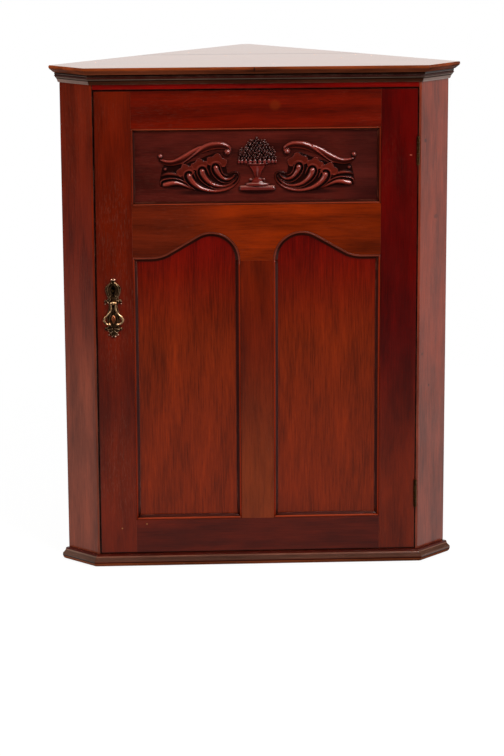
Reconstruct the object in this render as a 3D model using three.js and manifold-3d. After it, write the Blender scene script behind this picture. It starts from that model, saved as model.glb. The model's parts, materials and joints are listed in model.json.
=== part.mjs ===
// Corner cupboard with one carved door. Millimetres, +Z up, +X to the viewer's right, front towards -Y.
// The carcass front plane is y = 0 while the pieces are made; the whole group is centred at the end.
import * as THREE from 'three';
import { mergeVertices } from 'three/addons/utils/BufferGeometryUtils.js';
import Module from 'manifold-3d';

const wasm = await Module();
wasm.setup();

// Carcass: driving sizes
const height = 840;
const frontWidth = 540; // straight front, between the outer corners of the two returns
const returnDepth = 50; // how far a 45 degree return runs back, and also sideways
const backFlatDepth = 8; // how much of the right-angled back corner is cut away
const returnThickness = 20;
const returnStrip = 4; // square front edge of a return, beside the door opening
const backBoardThickness = 10;
const backBoardRebate = 10;
const backBoardsPerWall = 3;
const tongueThickness = 3;
const tongueLength = 4;
const joinGap = 0.3; // play wherever slanted or fitted faces meet

// Top board
const topThickness = 12;
const topOverhang = 24;
const topSeamDepth = 184; // from the front plane to the seam of its two boards
const topEdgeShares = [[0.58, 0], [0.63, 0.1], [0.93, 0.5], [1, 0.7], [1, 0.86], [0.94, 1]];

// Mouldings planted round the front and the returns
const corniceHeight = 17;
const corniceProjection = 11;
const corniceShares = [[0, 0], [0.34, 0], [0.34, 0.1], [0.43, 0.14], [0.5, 0.28], [0.66, 0.42], [0.86, 0.5],
  [0.86, 0.56], [1, 0.6], [1.04, 0.66], [1, 0.73], [0.9, 0.76], [1, 0.8], [1, 1], [0, 1]];
const baseHeight = 20; // the bottom board is as thick as its moulding is high
const baseProjection = 15.5;
const baseShares = [[0, 0], [0.55, 0], [0.8, 0.14], [0.95, 0.32], [1, 0.48], [0.94, 0.62], [0.7, 0.71],
  [0.55, 0.8], [0.46, 1], [0, 1]];

// Rail over the door, with a lip behind it that stops the door
const topRailHeight = 26;
const topRailThickness = 30;
const stopLipHeight = 8;
const stopGap = 0.5; // between the door's back and what it closes against

// Shelves and their bearers
const shelfThickness = 16;
const shelfCount = 2;
const shelfPlay = 0.5;
const bearerWidth = 14;
const bearerHeight = 18;
const bearerInset = 6; // from the return to the bearer's front end
const bearerBackInset = 60; // from the back corner to the bearer's rear end

// Door frame
const doorGap = 1.5; // all round the door
const doorThickness = 21;
const stileWidth = 60;
const doorTopRailWidth = 62;
const doorBottomRailWidth = 57;
const muntinWidth = 54;
const carvedOpeningHeight = 126.5;
const middleRailWidth = 85.5; // at the stiles
const tenonLength = 34;
const muntinTenonLength = 18;
const haunch = 12; // a tenon's inset from the outer end of the stile

// Arched openings of the lower panels: crown, straight slope and hollow shoulder
const archRise = 41;
const crownRadius = 48;
const shoulderRadius = 55;
const archSlope = THREE.MathUtils.degToRad(30.3);
const archJointDrop = 0.8; // the muntin's joint lies this far below the springing
const crownSteps = 14;
const shoulderSteps = 5;

// Panels and the mouldings planted on them
const panelRecess = 8;
const panelThickness = 8;
const grooveDepth = 8;
const panelPlay = 1;
const carvedMouldingWidth = 6;
const lowerMouldingWidth = 8;
const mouldingShares = [[0, 0], [0, 0.84], [0.14, 0.94], [0.3, 0.93], [0.42, 0.8], [0.46, 0.62], [0.6, 0.55],
  [0.76, 0.42], [0.88, 0.26], [1, 0.2], [1, 0]];

// Butt hinges at the right-hand edge
const hingeLength = 45;
const hingeBottomInset = 96; // door's lower edge to the middle of the lower hinge
const hingeTopInset = 102;
const leafThickness = 1.3;
const leafDepth = 18;
const knuckleRadius = 2.7;
const knuckleProud = 2.2; // pin axis in front of the door
const knuckleCount = 5;
const pinRadius = 1.2;
const pinHeadRadius = 1.9;
const pinHeadLength = 1.2;
const runningGap = 0.1;
const roundSides = 20;

// Lock, keyhole plate and drop handle
const lockBackset = 27; // door's edge to the keyhole
const keyholeBelowRail = 52; // from the middle rail's shoulder down to the keyhole
const keyholeRadius = 3.3;
const keyholeSlotWidth = 3.2;
const keyholeDrop = 9.5;
const keyholePlay = 0.4; // the stile's keyhole is this much wider all round than the plate's
const lockCaseWidth = 44;
const lockCaseHeight = 54;
const lockCaseThickness = 11;
const lockCaseAbove = 16; // case above the keyhole
const keyBoreDepth = 6;
const boltLength = 30;
const boltHeight = 12;
const boltThickness = 5.5;
const boltSink = 2.5; // bolt behind the face of the case
const boltDrop = 19.5; // keyhole to the bolt's middle
const boltRest = 0.4; // bolt end inside the door's edge at rest
const boltPocketDepth = 9.5;
const plateHeight = 98;
const plateAboveKeyhole = 16.8;
const plateHalfWidth = 12.5;
const plateThickness = 2.2;
const plateShares = [[0, 1], [0.25, 0.985], [0.2, 0.955], [0.42, 0.925], [0.75, 0.885], [1, 0.835],
  [0.86, 0.755], [0.64, 0.675], [0.7, 0.65], [0.98, 0.622], [0.62, 0.585], [0.5, 0.53], [0.66, 0.45],
  [0.86, 0.36], [0.8, 0.26], [0.6, 0.19], [0.98, 0.15], [0.6, 0.105], [0.4, 0.058], [0.22, 0.028], [0, 0]];
const plateKnobShares = [[0, 0.975, 0.2], [0.95, 0.62, 0.2], [0.95, 0.148, 0.2], [0.4, 0.06, 0.16],
  [0, 0.022, 0.18]];
const handlePivotDrop = 22.5; // keyhole to the handle's pivot
const pivotReach = 8; // pivot in front of the door
const pivotPinRadius = 1.3;
const pivotGap = 0.2;
const eyeRadius = 3.2;
const eyeWidth = 4;
const postRadius = 2;
const handleRadius = 1.7;
const handleBallRadius = 2.5;
const pivotBossRadius = 2.1;
const handleDrop = 40; // pivot to the lowest part of the loop
const handleShares = [[0.1, 0], [0.1, 0.13], [0.11, 0.3], [0.2, 0.47], [0.36, 0.61], [0.415, 0.74],
  [0.36, 0.87], [0.27, 0.94], [0.18, 0.935]];
const handleSteps = 18;
const handleSides = 8;
const ballSides = 10;
const ballBands = 6;

// Carving: places are shares of its reach from the middle of the panel, drawn for the right-hand side
const carvingReach = 160;
const carvingRelief = 6.6; // how far the carving stands out of the panel
const backingThickness = 2;
const reliefSteps = 8;
const scrollShares = [[0.975, 0.075, 0.028], [0.9, 0.05, 0.038], [0.815, 0.061, 0.04],
  [0.73, 0.094, 0.039], [0.64, 0.146, 0.037], [0.553, 0.189, 0.036], [0.475, 0.213, 0.035],
  [0.39, 0.22, 0.034], [0.322, 0.211, 0.03], [0.282, 0.178, 0.024]]; // place across, place up, radius
const scrollBallShares = [[0.986, 0.114, 0.03], [0.3, 0.147, 0.037]];
const lobeShares = [[0.416, 0.075, 0.085, 0.072], [0.583, 0.022, 0.073, 0.068], [0.735, -0.035, 0.073, 0.06],
  [0.885, -0.1, 0.1, 0.035]]; // place across, place up, half width, half height
const lobeDepthShare = 0.6; // of the relief
const fluteShares = [
  [[0.404, -0.023, 0.034], [0.375, -0.095, 0.036], [0.33, -0.142, 0.03], [0.242, -0.123, 0.016]],
  [[0.541, -0.048, 0.034], [0.5, -0.125, 0.037], [0.43, -0.19, 0.034], [0.347, -0.213, 0.028],
    [0.236, -0.188, 0.022], [0.184, -0.117, 0.014]],
  [[0.678, -0.092, 0.034], [0.63, -0.165, 0.037], [0.56, -0.216, 0.034], [0.463, -0.245, 0.028],
    [0.333, -0.253, 0.022], [0.216, -0.188, 0.02], [0.18, -0.104, 0.016]],
  [[0.965, -0.185, 0.034], [0.9, -0.18, 0.036], [0.82, -0.162, 0.03], [0.717, -0.196, 0.026],
    [0.626, -0.236, 0.018]],
];
const fluteSteps = 12;
const carvingSides = 8;
const backingShares = [[0.98, -0.2], [0.975, -0.09], [0.93, 0.02], [0.76, 0.09], [0.66, 0.02], [0.62, 0.07],
  [0.53, 0.075], [0.49, 0.12], [0.42, 0.14], [0.34, 0.1], [0.28, -0.02], [0.2, -0.08], [0.175, -0.16],
  [0.23, -0.22], [0.33, -0.265], [0.48, -0.265], [0.63, -0.24], [0.78, -0.21]];
const basketShares = [[0.17, -0.27, 0.5], [0.19, -0.25, 0.85], [0.18, -0.212, 0.8], [0.13, -0.2, 0.55],
  [0.135, -0.18, 0.65], [0.08, -0.17, 0.6], [0.075, -0.148, 0.65], [0.055, -0.122, 0.6], [0.04, -0.11, 0.55],
  [0.045, -0.06, 0.6], [0.085, -0.02, 0.7], [0.13, -0.003, 0.75], [0.18, 0.015, 0.7], [0.18, 0.07, 0.7],
  [0.165, 0.15, 0.6], [0.145, 0.2, 0.5], [0.105, 0.25, 0.4],
  [0.05, 0.275, 0.3]]; // half width, place up, depth
const rimBeadCount = 8;
const rimBeadShares = [0.168, 0.045, 0.023, 0.03]; // last bead across, place up, half width, half height
const flowerShares = [[0.095, 0.165, 7], [0.14, 0.165, 6], [0.185, 0.15, 6], [0.228, 0.115, 5],
  [0.268, 0.055, 3]]; // place up, last flower across, count in the row
const flowerRadiusShare = 0.027;

// One overrun serves all cuts
const overrun = 2;

// Derived places
const half = Math.SQRT1_2;
const frontHalf = frontWidth / 2;
const returnLength = returnDepth / half;
const wallLength = (frontHalf + returnDepth) / half;
const cornerDepth = frontHalf + 2 * returnDepth;
const backPlane = cornerDepth - backFlatDepth;
const topBottom = height - topThickness;
const railBottom = topBottom - topRailHeight;
const openingHalf = frontHalf - returnStrip;
const doorHalf = openingHalf - doorGap;
const doorBottom = baseHeight + doorGap;
const doorTop = railBottom - doorGap;
const frameHalf = doorHalf - stileWidth; // inner edge of a stile
const muntinHalf = muntinWidth / 2;
const carvedTop = doorTop - doorTopRailWidth;
const carvedBottom = carvedTop - carvedOpeningHeight;
const shoulder = carvedBottom - middleRailWidth;
const lowerBottom = doorBottom + doorBottomRailWidth;
const crownCentre = [muntinHalf + crownRadius, shoulder + archRise - crownRadius];
const slopeRise = archRise - (crownRadius + shoulderRadius) * (1 - Math.cos(archSlope));
const shoulderCentre = [
  crownCentre[0] + (crownRadius + shoulderRadius) * Math.sin(archSlope) + slopeRise / Math.tan(archSlope),
  shoulder + shoulderRadius,
];
const muntinTop = crownCentre[1] - archJointDrop;
const stopPlane = doorThickness + stopGap;
const panelBack = panelRecess + panelThickness;
const keyholeX = lockBackset - doorHalf;
const keyholeHeight = shoulder - keyholeBelowRail;
const plateTop = keyholeHeight + plateAboveKeyhole;
const pivotHeight = keyholeHeight - handlePivotDrop;
const carvingHeight = (carvedTop + carvedBottom) / 2;

// Finishes
const finish = (color, roughness, metalness) => new THREE.MeshStandardMaterial(
  { color, roughness, metalness },
);
const mahogany = finish(0x6b2414, 0.35, 0);
const panelMahogany = finish(0x7c2a10, 0.35, 0);
const carvedMahogany = finish(0x4c1614, 0.35, 0);
const ebonised = finish(0x3c2a22, 0.4, 0);
const topMahogany = finish(0x8a4a2a, 0.35, 0);
const pine = finish(0xa07a50, 0.8, 0);
const agedBrass = finish(0x8a6f3c, 0.4, 1);
const lockBrass = finish(0xa5854a, 0.45, 1);

const cupboard = new THREE.Group();

// Shared vertices are merged, so that a closed shape becomes one solid.
function solidOf(geometry) {
  const bare = geometry.clone();
  bare.deleteAttribute('normal');
  bare.deleteAttribute('uv');
  const merged = mergeVertices(bare);
  return new wasm.Manifold(new wasm.Mesh({
    numProp: 3,
    vertProperties: new Float32Array(merged.attributes.position.array),
    triVerts: new Uint32Array(merged.index.array),
  }));
}

function geometryOf(solid) {
  const mesh = solid.getMesh();
  const geometry = new THREE.BufferGeometry();
  geometry.setAttribute('position', new THREE.BufferAttribute(mesh.vertProperties, mesh.numProp));
  geometry.setIndex(new THREE.BufferAttribute(mesh.triVerts, 1));
  return geometry;
}

const join = (...shapes) => geometryOf(shapes.map(solidOf).reduce((sum, next) => sum.add(next)));
const cut = (shape, ...tools) => geometryOf(tools.map(solidOf).reduce((rest, tool) => rest.subtract(tool),
  solidOf(shape)));
const keepWithin = (shape, space) => geometryOf(solidOf(shape).intersect(solidOf(space)));

function addPiece(name, material, shape) {
  const geometry = shape.clone();
  geometry.computeVertexNormals();
  const mesh = new THREE.Mesh(geometry, material);
  mesh.name = name;
  cupboard.add(mesh);
}

// Moves every vertex of a geometry by a function of its x, y and z.
function reshape(geometry, place) {
  const positions = geometry.attributes.position;
  for (let i = 0; i < positions.count; i += 1) {
    positions.setXYZ(i, ...place(positions.getX(i), positions.getY(i), positions.getZ(i)));
  }
  return geometry;
}

// A block between two corners, whose faces lie exactly at the values given.
function block([x0, x1], [y0, y1], [z0, z1]) {
  return reshape(new THREE.BoxGeometry(1, 1, 1), (x, y, z) => [x < 0 ? x0 : x1, y < 0 ? y0 : y1,
    z < 0 ? z0 : z1]);
}

const shapeOf = (points) => new THREE.Shape(points.map(([u, v]) => new THREE.Vector2(u, v)));
const unitExtrusion = (points) => new THREE.ExtrudeGeometry(shapeOf(points),
  { depth: 1, bevelEnabled: false });

// A plan outline of [x, y] points between two heights
const planPrism = (points, low, high) => reshape(unitExtrusion(points),
  (u, v, w) => [u, v, w < 0.5 ? low : high]);

// A front outline of [x, z] points between two depths
const frontPrism = (points, front, back) => reshape(unitExtrusion(points),
  (u, v, w) => [u, w < 0.5 ? back : front, v]);

// A closed solid through rings of [x, y, z] points; its ends are capped with the triangles of a flat outline.
function loft(rings, outline) {
  const flat = outline.map(([u, v]) => new THREE.Vector2(u, v));
  const turned = THREE.ShapeUtils.isClockWise(flat);
  const loops = turned ? rings.map((ring) => [...ring].reverse()) : rings;
  const contour = turned ? flat.reverse() : flat;
  const count = contour.length;
  const last = (loops.length - 1) * count;
  const triangles = [];
  for (let start = 0; start < last; start += count) {
    for (let i = 0; i < count; i += 1) {
      const next = (i + 1) % count;
      triangles.push([start + i, start + next, start + next + count], [start + i, start + next + count,
        start + i + count]);
    }
  }
  for (const [i, j, k] of THREE.ShapeUtils.triangulateShape(contour, [])) {
    triangles.push([i, k, j], [last + i, last + j, last + k]);
  }
  const points = loops.flat();
  const corner = (i) => new THREE.Vector3(...points[i]);
  const volume = triangles.reduce((sum, [i, j, k]) => sum + corner(i).dot(corner(j).cross(corner(k))), 0);
  const outward = volume < 0 ? triangles.map(([i, j, k]) => [i, k, j]) : triangles;
  const geometry = new THREE.BufferGeometry();
  geometry.setAttribute('position', new THREE.Float32BufferAttribute(points.flat(), 3));
  geometry.setIndex(outward.flat());
  return geometry;
}

// A round bar along a smooth line in a front view, at the depth y. Each row is [x, z, radius].
function sweep(rows, steps, barSides, y) {
  const line = new THREE.CatmullRomCurve3(rows.map(([x, z, radius]) => new THREE.Vector3(x, z, radius)));
  const circle = arc([0, 0], 1, 0, 2 * Math.PI, barSides).slice(1);
  const rings = line.getPoints(steps).map((point, i) => {
    const along = line.getTangent(i / steps).setZ(0).normalize();
    return circle.map(([across, out]) => [point.x - along.y * across * point.z, y + out * point.z,
      point.y + along.x * across * point.z]);
  });
  return loft(rings, circle);
}

// Plan geometry. u runs along a return from the front corner, v runs square to it towards the back corner.
const planPoint = (side, u, v) => [side * (frontHalf + (u - v) * half), (u + v) * half];
const frontCorner = (side, overhang, slip = 0) => [side * (frontHalf + overhang * (Math.SQRT2 - 1) - slip),
  -overhang];
const returnCorner = (side, overhang, slip) => {
  const [x, y] = frontCorner(side, overhang);
  return [x + side * slip * half, y + slip * half];
};
const wallTip = (side, overhang) => planPoint(side, returnLength, -overhang);

// Keeps the part of a plan outline in front of a line y = limit.
function trimBack(points, limit) {
  return points.flatMap(([x, y], i) => {
    const [nextX, nextY] = points[(i + 1) % points.length];
    const kept = y <= limit ? [[x, y]] : [];
    const crosses = (y < limit && nextY > limit) || (y > limit && nextY < limit);
    return crosses ? [...kept, [x + ((nextX - x) * (limit - y)) / (nextY - y), limit]] : kept;
  });
}

const mirrored = (points) => points.map(([x, y]) => [-x, y]);
const bothSides = (points) => [...points, ...mirrored(points).reverse()];
const sides = [['left', -1], ['right', 1]];

function makeTop() {
  const seamHalf = cornerDepth - topSeamDepth;
  const ring = (overhang, z) => bothSides([frontCorner(1, overhang), wallTip(1, overhang),
    [seamHalf, topSeamDepth]]).map(([x, y]) => [x, y, z]);
  const rings = topEdgeShares.map(([out, up]) => ring(out * topOverhang, topBottom + up * topThickness));
  addPiece('top_board_front', topMahogany, loft(rings, ring(topOverhang, 0).map(([x, y]) => [x, y])));
  const rear = bothSides([[seamHalf - joinGap, topSeamDepth + joinGap], [0, cornerDepth]]);
  addPiece('top_board_rear', topMahogany, planPrism(trimBack(rear, backPlane), topBottom, height));
}

// A moulding mitred round the front: one strip across it and one along each return.
function makeMoulding(name, shares, projection, low, rise) {
  const profile = shares.map(([out, up]) => [out * projection, low + up * rise]);
  const slip = joinGap / 2;
  const stationsFront = [-1, 1].map((side) => profile.map(
    ([out, z]) => [...frontCorner(side, out, slip), z],
  ));
  addPiece(`${name}_front`, ebonised, loft(stationsFront, profile));
  const seated = profile.map(([out, z]) => [Math.max(out, joinGap), z]);
  for (const [label, side] of sides) {
    const stations = [
      seated.map(([out, z]) => [...returnCorner(side, out, slip), z]),
      seated.map(([out, z]) => [...wallTip(side, out), z]),
    ];
    addPiece(`${name}_${label}`, ebonised, loft(stations, seated));
  }
}

// Hinge places, shared by the leaves, the pins and their recesses
const hingeHeights = { lower: doorBottom + hingeBottomInset, upper: doorTop - hingeTopInset };
const hingeX = (openingHalf + doorHalf) / 2;
const leafRecess = (inner, outer, middle) => block([inner, outer], [-overrun, leafDepth + joinGap],
  [middle - hingeLength / 2 - joinGap, middle + hingeLength / 2 + joinGap]);

// Lock places
const caseTop = keyholeHeight + lockCaseAbove;
const caseFront = doorThickness - lockCaseThickness;
const boltMiddle = keyholeHeight - boltDrop;
const boltDepths = [caseFront + boltSink, caseFront + boltSink + boltThickness];
const boltHeights = [boltMiddle - boltHeight / 2, boltMiddle + boltHeight / 2];
const widen = ([low, high]) => [low - joinGap, high + joinGap];

function makeReturns() {
  const innerFront = returnThickness - returnStrip / half;
  const boardFace = returnLength - backBoardThickness - joinGap;
  for (const [label, side] of sides) {
    const outline = [[side * openingHalf, 0], planPoint(side, 0, 0), planPoint(side, returnLength, 0),
      planPoint(side, returnLength, backBoardRebate), planPoint(side, boardFace, backBoardRebate),
      planPoint(side, boardFace, returnThickness), planPoint(side, innerFront, returnThickness)];
    const board = planPrism(outline, baseHeight, topBottom);
    const recesses = side > 0
      ? Object.values(hingeHeights).map((z) => leafRecess(openingHalf - overrun,
        openingHalf + leafThickness + joinGap, z))
      : [block([-openingHalf - boltPocketDepth, -openingHalf + overrun], widen(boltDepths),
        widen(boltHeights))];
    addPiece(`return_${label}`, mahogany, cut(board, ...recesses));
  }
}

// Upright boards in the rebates of the returns, tongued together; those on the left butt against the others.
function makeBackBoards() {
  const inner = returnLength - backBoardThickness;
  const middle = returnLength - backBoardThickness / 2;
  for (const [label, side] of sides) {
    const start = backBoardRebate + joinGap;
    const end = wallLength - (side < 0 ? backBoardThickness + joinGap : 0);
    const width = (end - start) / backBoardsPerWall;
    for (let n = 0; n < backBoardsPerWall; n += 1) {
      const near = start + n * width;
      const far = near + width - (n + 1 < backBoardsPerWall ? joinGap : 0);
      const tongue = [[middle + tongueThickness / 2, far], [middle + tongueThickness / 2, far + tongueLength],
        [middle - tongueThickness / 2, far + tongueLength], [middle - tongueThickness / 2, far]];
      const grooveHalf = tongueThickness / 2 + joinGap;
      const grooveEnd = near + tongueLength + joinGap;
      const groove = [[middle - grooveHalf, near], [middle - grooveHalf, grooveEnd],
        [middle + grooveHalf, grooveEnd], [middle + grooveHalf, near]];
      const outline = [[returnLength, near], [returnLength, far],
        ...(n + 1 < backBoardsPerWall ? tongue : []), [inner, far], [inner, near],
        ...(n > 0 ? groove : [])];
      const plan = outline.map(([u, v]) => planPoint(side, u, v));
      const board = planPrism(trimBack(plan, backPlane), baseHeight, topBottom);
      addPiece(`backboard_${label}_${n + 1}`, pine, board);
    }
  }
}

function makeCarcass() {
  const bottom = bothSides([frontCorner(1, 0), wallTip(1, 0), [0, cornerDepth]]);
  addPiece('bottom_board', mahogany, planPrism(trimBack(bottom, backPlane), 0, baseHeight));
  makeReturns();
  makeBackBoards();
  const across = [-openingHalf, openingHalf];
  addPiece('front_top_rail', mahogany, join(
    block(across, [0, topRailThickness], [railBottom, topBottom]),
    block(across, [stopPlane, topRailThickness], [railBottom - stopLipHeight, railBottom + joinGap]),
  ));
}

// The shelves' front edges stop the door; each shelf rests on a bearer along either wall.
function makeShelves() {
  const u = returnLength - backBoardThickness - shelfPlay;
  const v = returnThickness + shelfPlay;
  const frontX = openingHalf - shelfPlay;
  const turn = v - (frontHalf - frontX) / half;
  const right = [[frontX, stopPlane], planPoint(1, turn, v), planPoint(1, u, v)];
  const outline = [...right, planPoint(1, u, u + frontHalf / half), ...mirrored(right).reverse()];
  const bearerFace = returnLength - backBoardThickness - joinGap;
  const bearerPlan = [[bearerFace, returnThickness + bearerInset], [bearerFace, wallLength - bearerBackInset],
    [bearerFace - bearerWidth, wallLength - bearerBackInset],
    [bearerFace - bearerWidth, returnThickness + bearerInset]];
  const bay = (topBottom - baseHeight - shelfCount * shelfThickness) / (shelfCount + 1);
  ['lower', 'upper'].forEach((name, n) => {
    const under = baseHeight + (n + 1) * bay + n * shelfThickness;
    addPiece(`shelf_${name}`, pine, planPrism(outline, under, under + shelfThickness));
    for (const [label, side] of sides) {
      const plan = bearerPlan.map(([a, b]) => planPoint(side, a, b));
      addPiece(`shelf_bearer_${name}_${label}`, pine, planPrism(plan, under - bearerHeight, under));
    }
  });
}

// Points of an arc in a front view
function arc([x, z], radius, from, to, steps) {
  return Array.from({ length: steps + 1 }, (unused, i) => {
    const angle = from + ((to - from) * i) / steps;
    return [x + radius * Math.cos(angle), z + radius * Math.sin(angle)];
  });
}

// Edge of the right-hand lower opening from the stile's shoulder to the springing, drawn in by inset
function archPath(inset) {
  return [
    [frameHalf - inset, shoulder - inset],
    ...arc(shoulderCentre, shoulderRadius + inset, -Math.PI / 2, -Math.PI / 2 - archSlope, shoulderSteps),
    ...arc(crownCentre, crownRadius - inset, Math.PI / 2 - archSlope, Math.PI, crownSteps),
  ];
}

const lowerOutline = (side, inset) => [
  ...archPath(inset), [muntinHalf + inset, lowerBottom + inset], [frameHalf - inset, lowerBottom + inset],
].map(([x, z]) => [side * x, z]);
const carvedOutline = (inset) => [
  [inset - frameHalf, carvedBottom + inset], [frameHalf - inset, carvedBottom + inset],
  [frameHalf - inset, carvedTop - inset], [inset - frameHalf, carvedTop - inset],
];

const keyholeOutline = (grow) => {
  const radius = keyholeRadius + grow;
  const slot = keyholeSlotWidth / 2 + grow;
  const foot = keyholeHeight - keyholeDrop - grow;
  const turn = Math.asin(slot / radius);
  return [
    ...arc([keyholeX, keyholeHeight], radius, turn - Math.PI / 2, Math.PI * 1.5 - turn, roundSides),
    [keyholeX - slot, foot], [keyholeX + slot, foot],
  ];
};

function makeDoorFrame() {
  const through = [0, doorThickness];
  const grooveBack = panelBack + joinGap;
  const grooves = [frontPrism(carvedOutline(-grooveDepth), panelRecess, grooveBack),
    ...[-1, 1].map((side) => frontPrism(lowerOutline(side, -grooveDepth), panelRecess, grooveBack))];
  const tenonDepths = [panelRecess + joinGap, panelBack];
  const socket = (x, z) => block(x, [panelRecess, grooveBack], widen(z));
  const tenonHeights = [[carvedTop + grooveDepth, doorTop - haunch], [shoulder + grooveDepth,
    carvedBottom - grooveDepth], [doorBottom + haunch, lowerBottom - grooveDepth]];
  const tenonReach = frameHalf + tenonLength;
  const tenonWeb = muntinHalf - grooveDepth;

  const leafRecesses = Object.values(hingeHeights).map((z) => leafRecess(doorHalf - leafThickness - joinGap,
    doorHalf + overrun, z));
  const lockRecesses = [
    block([-doorHalf - overrun, lockCaseWidth - doorHalf + joinGap],
      [caseFront - joinGap, doorThickness + overrun], widen([caseTop - lockCaseHeight, caseTop])),
    frontPrism(keyholeOutline(keyholePlay), -overrun, caseFront),
  ];
  for (const [name, side, recesses] of [['lock_stile', -1, lockRecesses], ['hinge_stile', 1, leafRecesses]]) {
    const span = ([inner, outer]) => (side > 0 ? [inner, outer] : [-outer, -inner]);
    const mortises = tenonHeights.map((z) => socket(span([frameHalf - overrun, tenonReach + joinGap]), z));
    const board = block(span([frameHalf, doorHalf]), through, [doorBottom, doorTop]);
    addPiece(name, mahogany, cut(board, ...grooves, ...mortises, ...recesses));
  }

  const tenons = (z) => block([-tenonReach, tenonReach], tenonDepths, z);
  const across = [-frameHalf, frameHalf];
  const topRail = cut(block(across, through, [carvedTop, doorTop]), ...grooves);
  addPiece('door_top_rail', mahogany, join(topRail, tenons(tenonHeights[0])));

  const arch = archPath(0);
  const middle = frontPrism([...bothSides([[muntinHalf, muntinTop], ...[...arch].reverse(),
    [frameHalf, carvedBottom]])], ...through);
  const muntinSocket = socket([-tenonWeb - joinGap, tenonWeb + joinGap], [muntinTop - overrun,
    muntinTop + muntinTenonLength]);
  const ends = [-1, 1].map((side) => block(side > 0 ? [frameHalf - joinGap, tenonReach]
    : [-tenonReach, joinGap - frameHalf], tenonDepths, tenonHeights[1]));
  addPiece('door_middle_rail', mahogany, join(cut(middle, ...grooves, muntinSocket), ...ends));

  const lowerSocket = socket([-tenonWeb - joinGap, tenonWeb + joinGap], [lowerBottom - muntinTenonLength,
    lowerBottom + overrun]);
  const bottomRail = cut(block(across, through, [doorBottom, lowerBottom]), ...grooves, lowerSocket);
  const lowerEnds = [-1, 1].map((side) => block(side > 0 ? [frameHalf - joinGap, tenonReach]
    : [-tenonReach, joinGap - frameHalf], tenonDepths, tenonHeights[2]));
  addPiece('door_bottom_rail', mahogany, join(bottomRail, ...lowerEnds));

  const muntin = cut(block([-muntinHalf, muntinHalf], through, [lowerBottom, muntinTop]), ...grooves);
  const muntinTenons = block([-tenonWeb, tenonWeb], tenonDepths, [lowerBottom - muntinTenonLength,
    muntinTop + muntinTenonLength]);
  addPiece('door_muntin', mahogany, join(muntin, muntinTenons));
}

// Panels stand loose in their grooves; planted mouldings cover their edges.
function makePanels() {
  const tongue = panelPlay - grooveDepth;
  addPiece('carved_panel', carvedMahogany, frontPrism(carvedOutline(tongue), panelRecess, panelBack));
  for (const [label, side] of sides) {
    const panel = frontPrism(lowerOutline(side, tongue), panelRecess, panelBack);
    addPiece(`lower_panel_${label}`, panelMahogany, panel);
  }
}

// One strip of panel moulding. path(inset) gives its stations as [x, z] points at that inset of the opening.
function panelMoulding(name, width, path) {
  const profile = mouldingShares.map(([out, up]) => [joinGap + out * (width - joinGap),
    panelRecess * (1 - up)]);
  const lines = profile.map(([inset]) => path(inset));
  const rings = lines[0].map((unused, station) => profile.map(([, y], i) => [lines[i][station][0], y,
    lines[i][station][1]]));
  addPiece(name, ebonised, loft(rings, profile));
}

function makePanelMouldings() {
  const slip = joinGap / 2;
  const upper = carvedMouldingWidth;
  const level = (z, d) => [-1, 1].map((side) => [side * (frameHalf - d - slip), z]);
  panelMoulding('carved_moulding_top', upper, (d) => level(carvedTop - d, d));
  panelMoulding('carved_moulding_bottom', upper, (d) => level(carvedBottom + d, d));
  for (const [label, side] of sides) {
    const turn = ([x, z]) => [side * x, z];
    panelMoulding(`carved_moulding_${label}`, upper, (d) => [
      [frameHalf - d, carvedBottom + d + slip], [frameHalf - d, carvedTop - d - slip]].map(turn));
    panelMoulding(`lower_moulding_${label}_base`, lowerMouldingWidth, (d) => [
      [frameHalf - d - slip, lowerBottom + d], [muntinHalf + d + slip, lowerBottom + d]].map(turn));
    panelMoulding(`lower_moulding_${label}_stile`, lowerMouldingWidth, (d) => [
      [frameHalf - d, lowerBottom + d + slip], [frameHalf - d, shoulder - d - slip]].map(turn));
    panelMoulding(`lower_moulding_${label}_muntin`, lowerMouldingWidth, (d) => [
      [muntinHalf + d, lowerBottom + d + slip], [muntinHalf + d, crownCentre[1] - slip]].map(turn));
    panelMoulding(`lower_moulding_${label}_arch`, lowerMouldingWidth, (d) => {
      const [[cornerX, cornerZ], ...rest] = archPath(d);
      const [endX, endZ] = rest.pop();
      return [[cornerX - slip, cornerZ], ...rest, [endX, endZ + slip]].map(turn);
    });
  }
}

// Rounded relief that swells out of the panel's face
const dome = (x, z, halfWidth, halfHeight, depth) => reshape(new THREE.SphereGeometry(1, carvingSides,
  carvingSides / 2 + 1), (sx, sy, sz) => [x + sx * halfWidth, panelRecess - sz * depth, z + sy * halfHeight]);
const carvingSpace = () => block([-frameHalf, frameHalf], [-carvingRelief, panelRecess],
  [carvedBottom, carvedTop]);
const carved = ([across, up], side = 1) => [side * across * carvingReach, carvingHeight + up * carvingReach];

// An S-shaped scroll with a ball at either end, over a fan of scallops and curling flutes
function makeScroll(label, side) {
  const bar = (rows, steps) => sweep(rows.map(([across, up, radius]) => [...carved([across, up], side),
    radius * carvingReach]), steps, carvingSides, panelRecess);
  const balls = scrollBallShares.map(([across, up, radius]) => dome(...carved([across, up], side),
    radius * carvingReach, radius * carvingReach, carvingRelief));
  const lobes = lobeShares.map(([across, up, halfWidth, halfHeight]) => dome(...carved([across, up], side),
    halfWidth * carvingReach, halfHeight * carvingReach, carvingRelief * lobeDepthShare));
  const backing = frontPrism(backingShares.map((place) => carved(place, side)),
    panelRecess - backingThickness, panelRecess + overrun);
  const flutes = fluteShares.map((rows) => bar(rows, fluteSteps));
  const heads = fluteShares.map(([[across, up, radius]]) => dome(...carved([across, up], side),
    radius * carvingReach, radius * carvingReach, radius * carvingReach));
  const whole = join(backing, bar(scrollShares, 2 * fluteSteps), ...balls, ...lobes, ...flutes, ...heads);
  addPiece(`carved_scroll_${label}`, carvedMahogany, keepWithin(whole, carvingSpace()));
}

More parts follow.
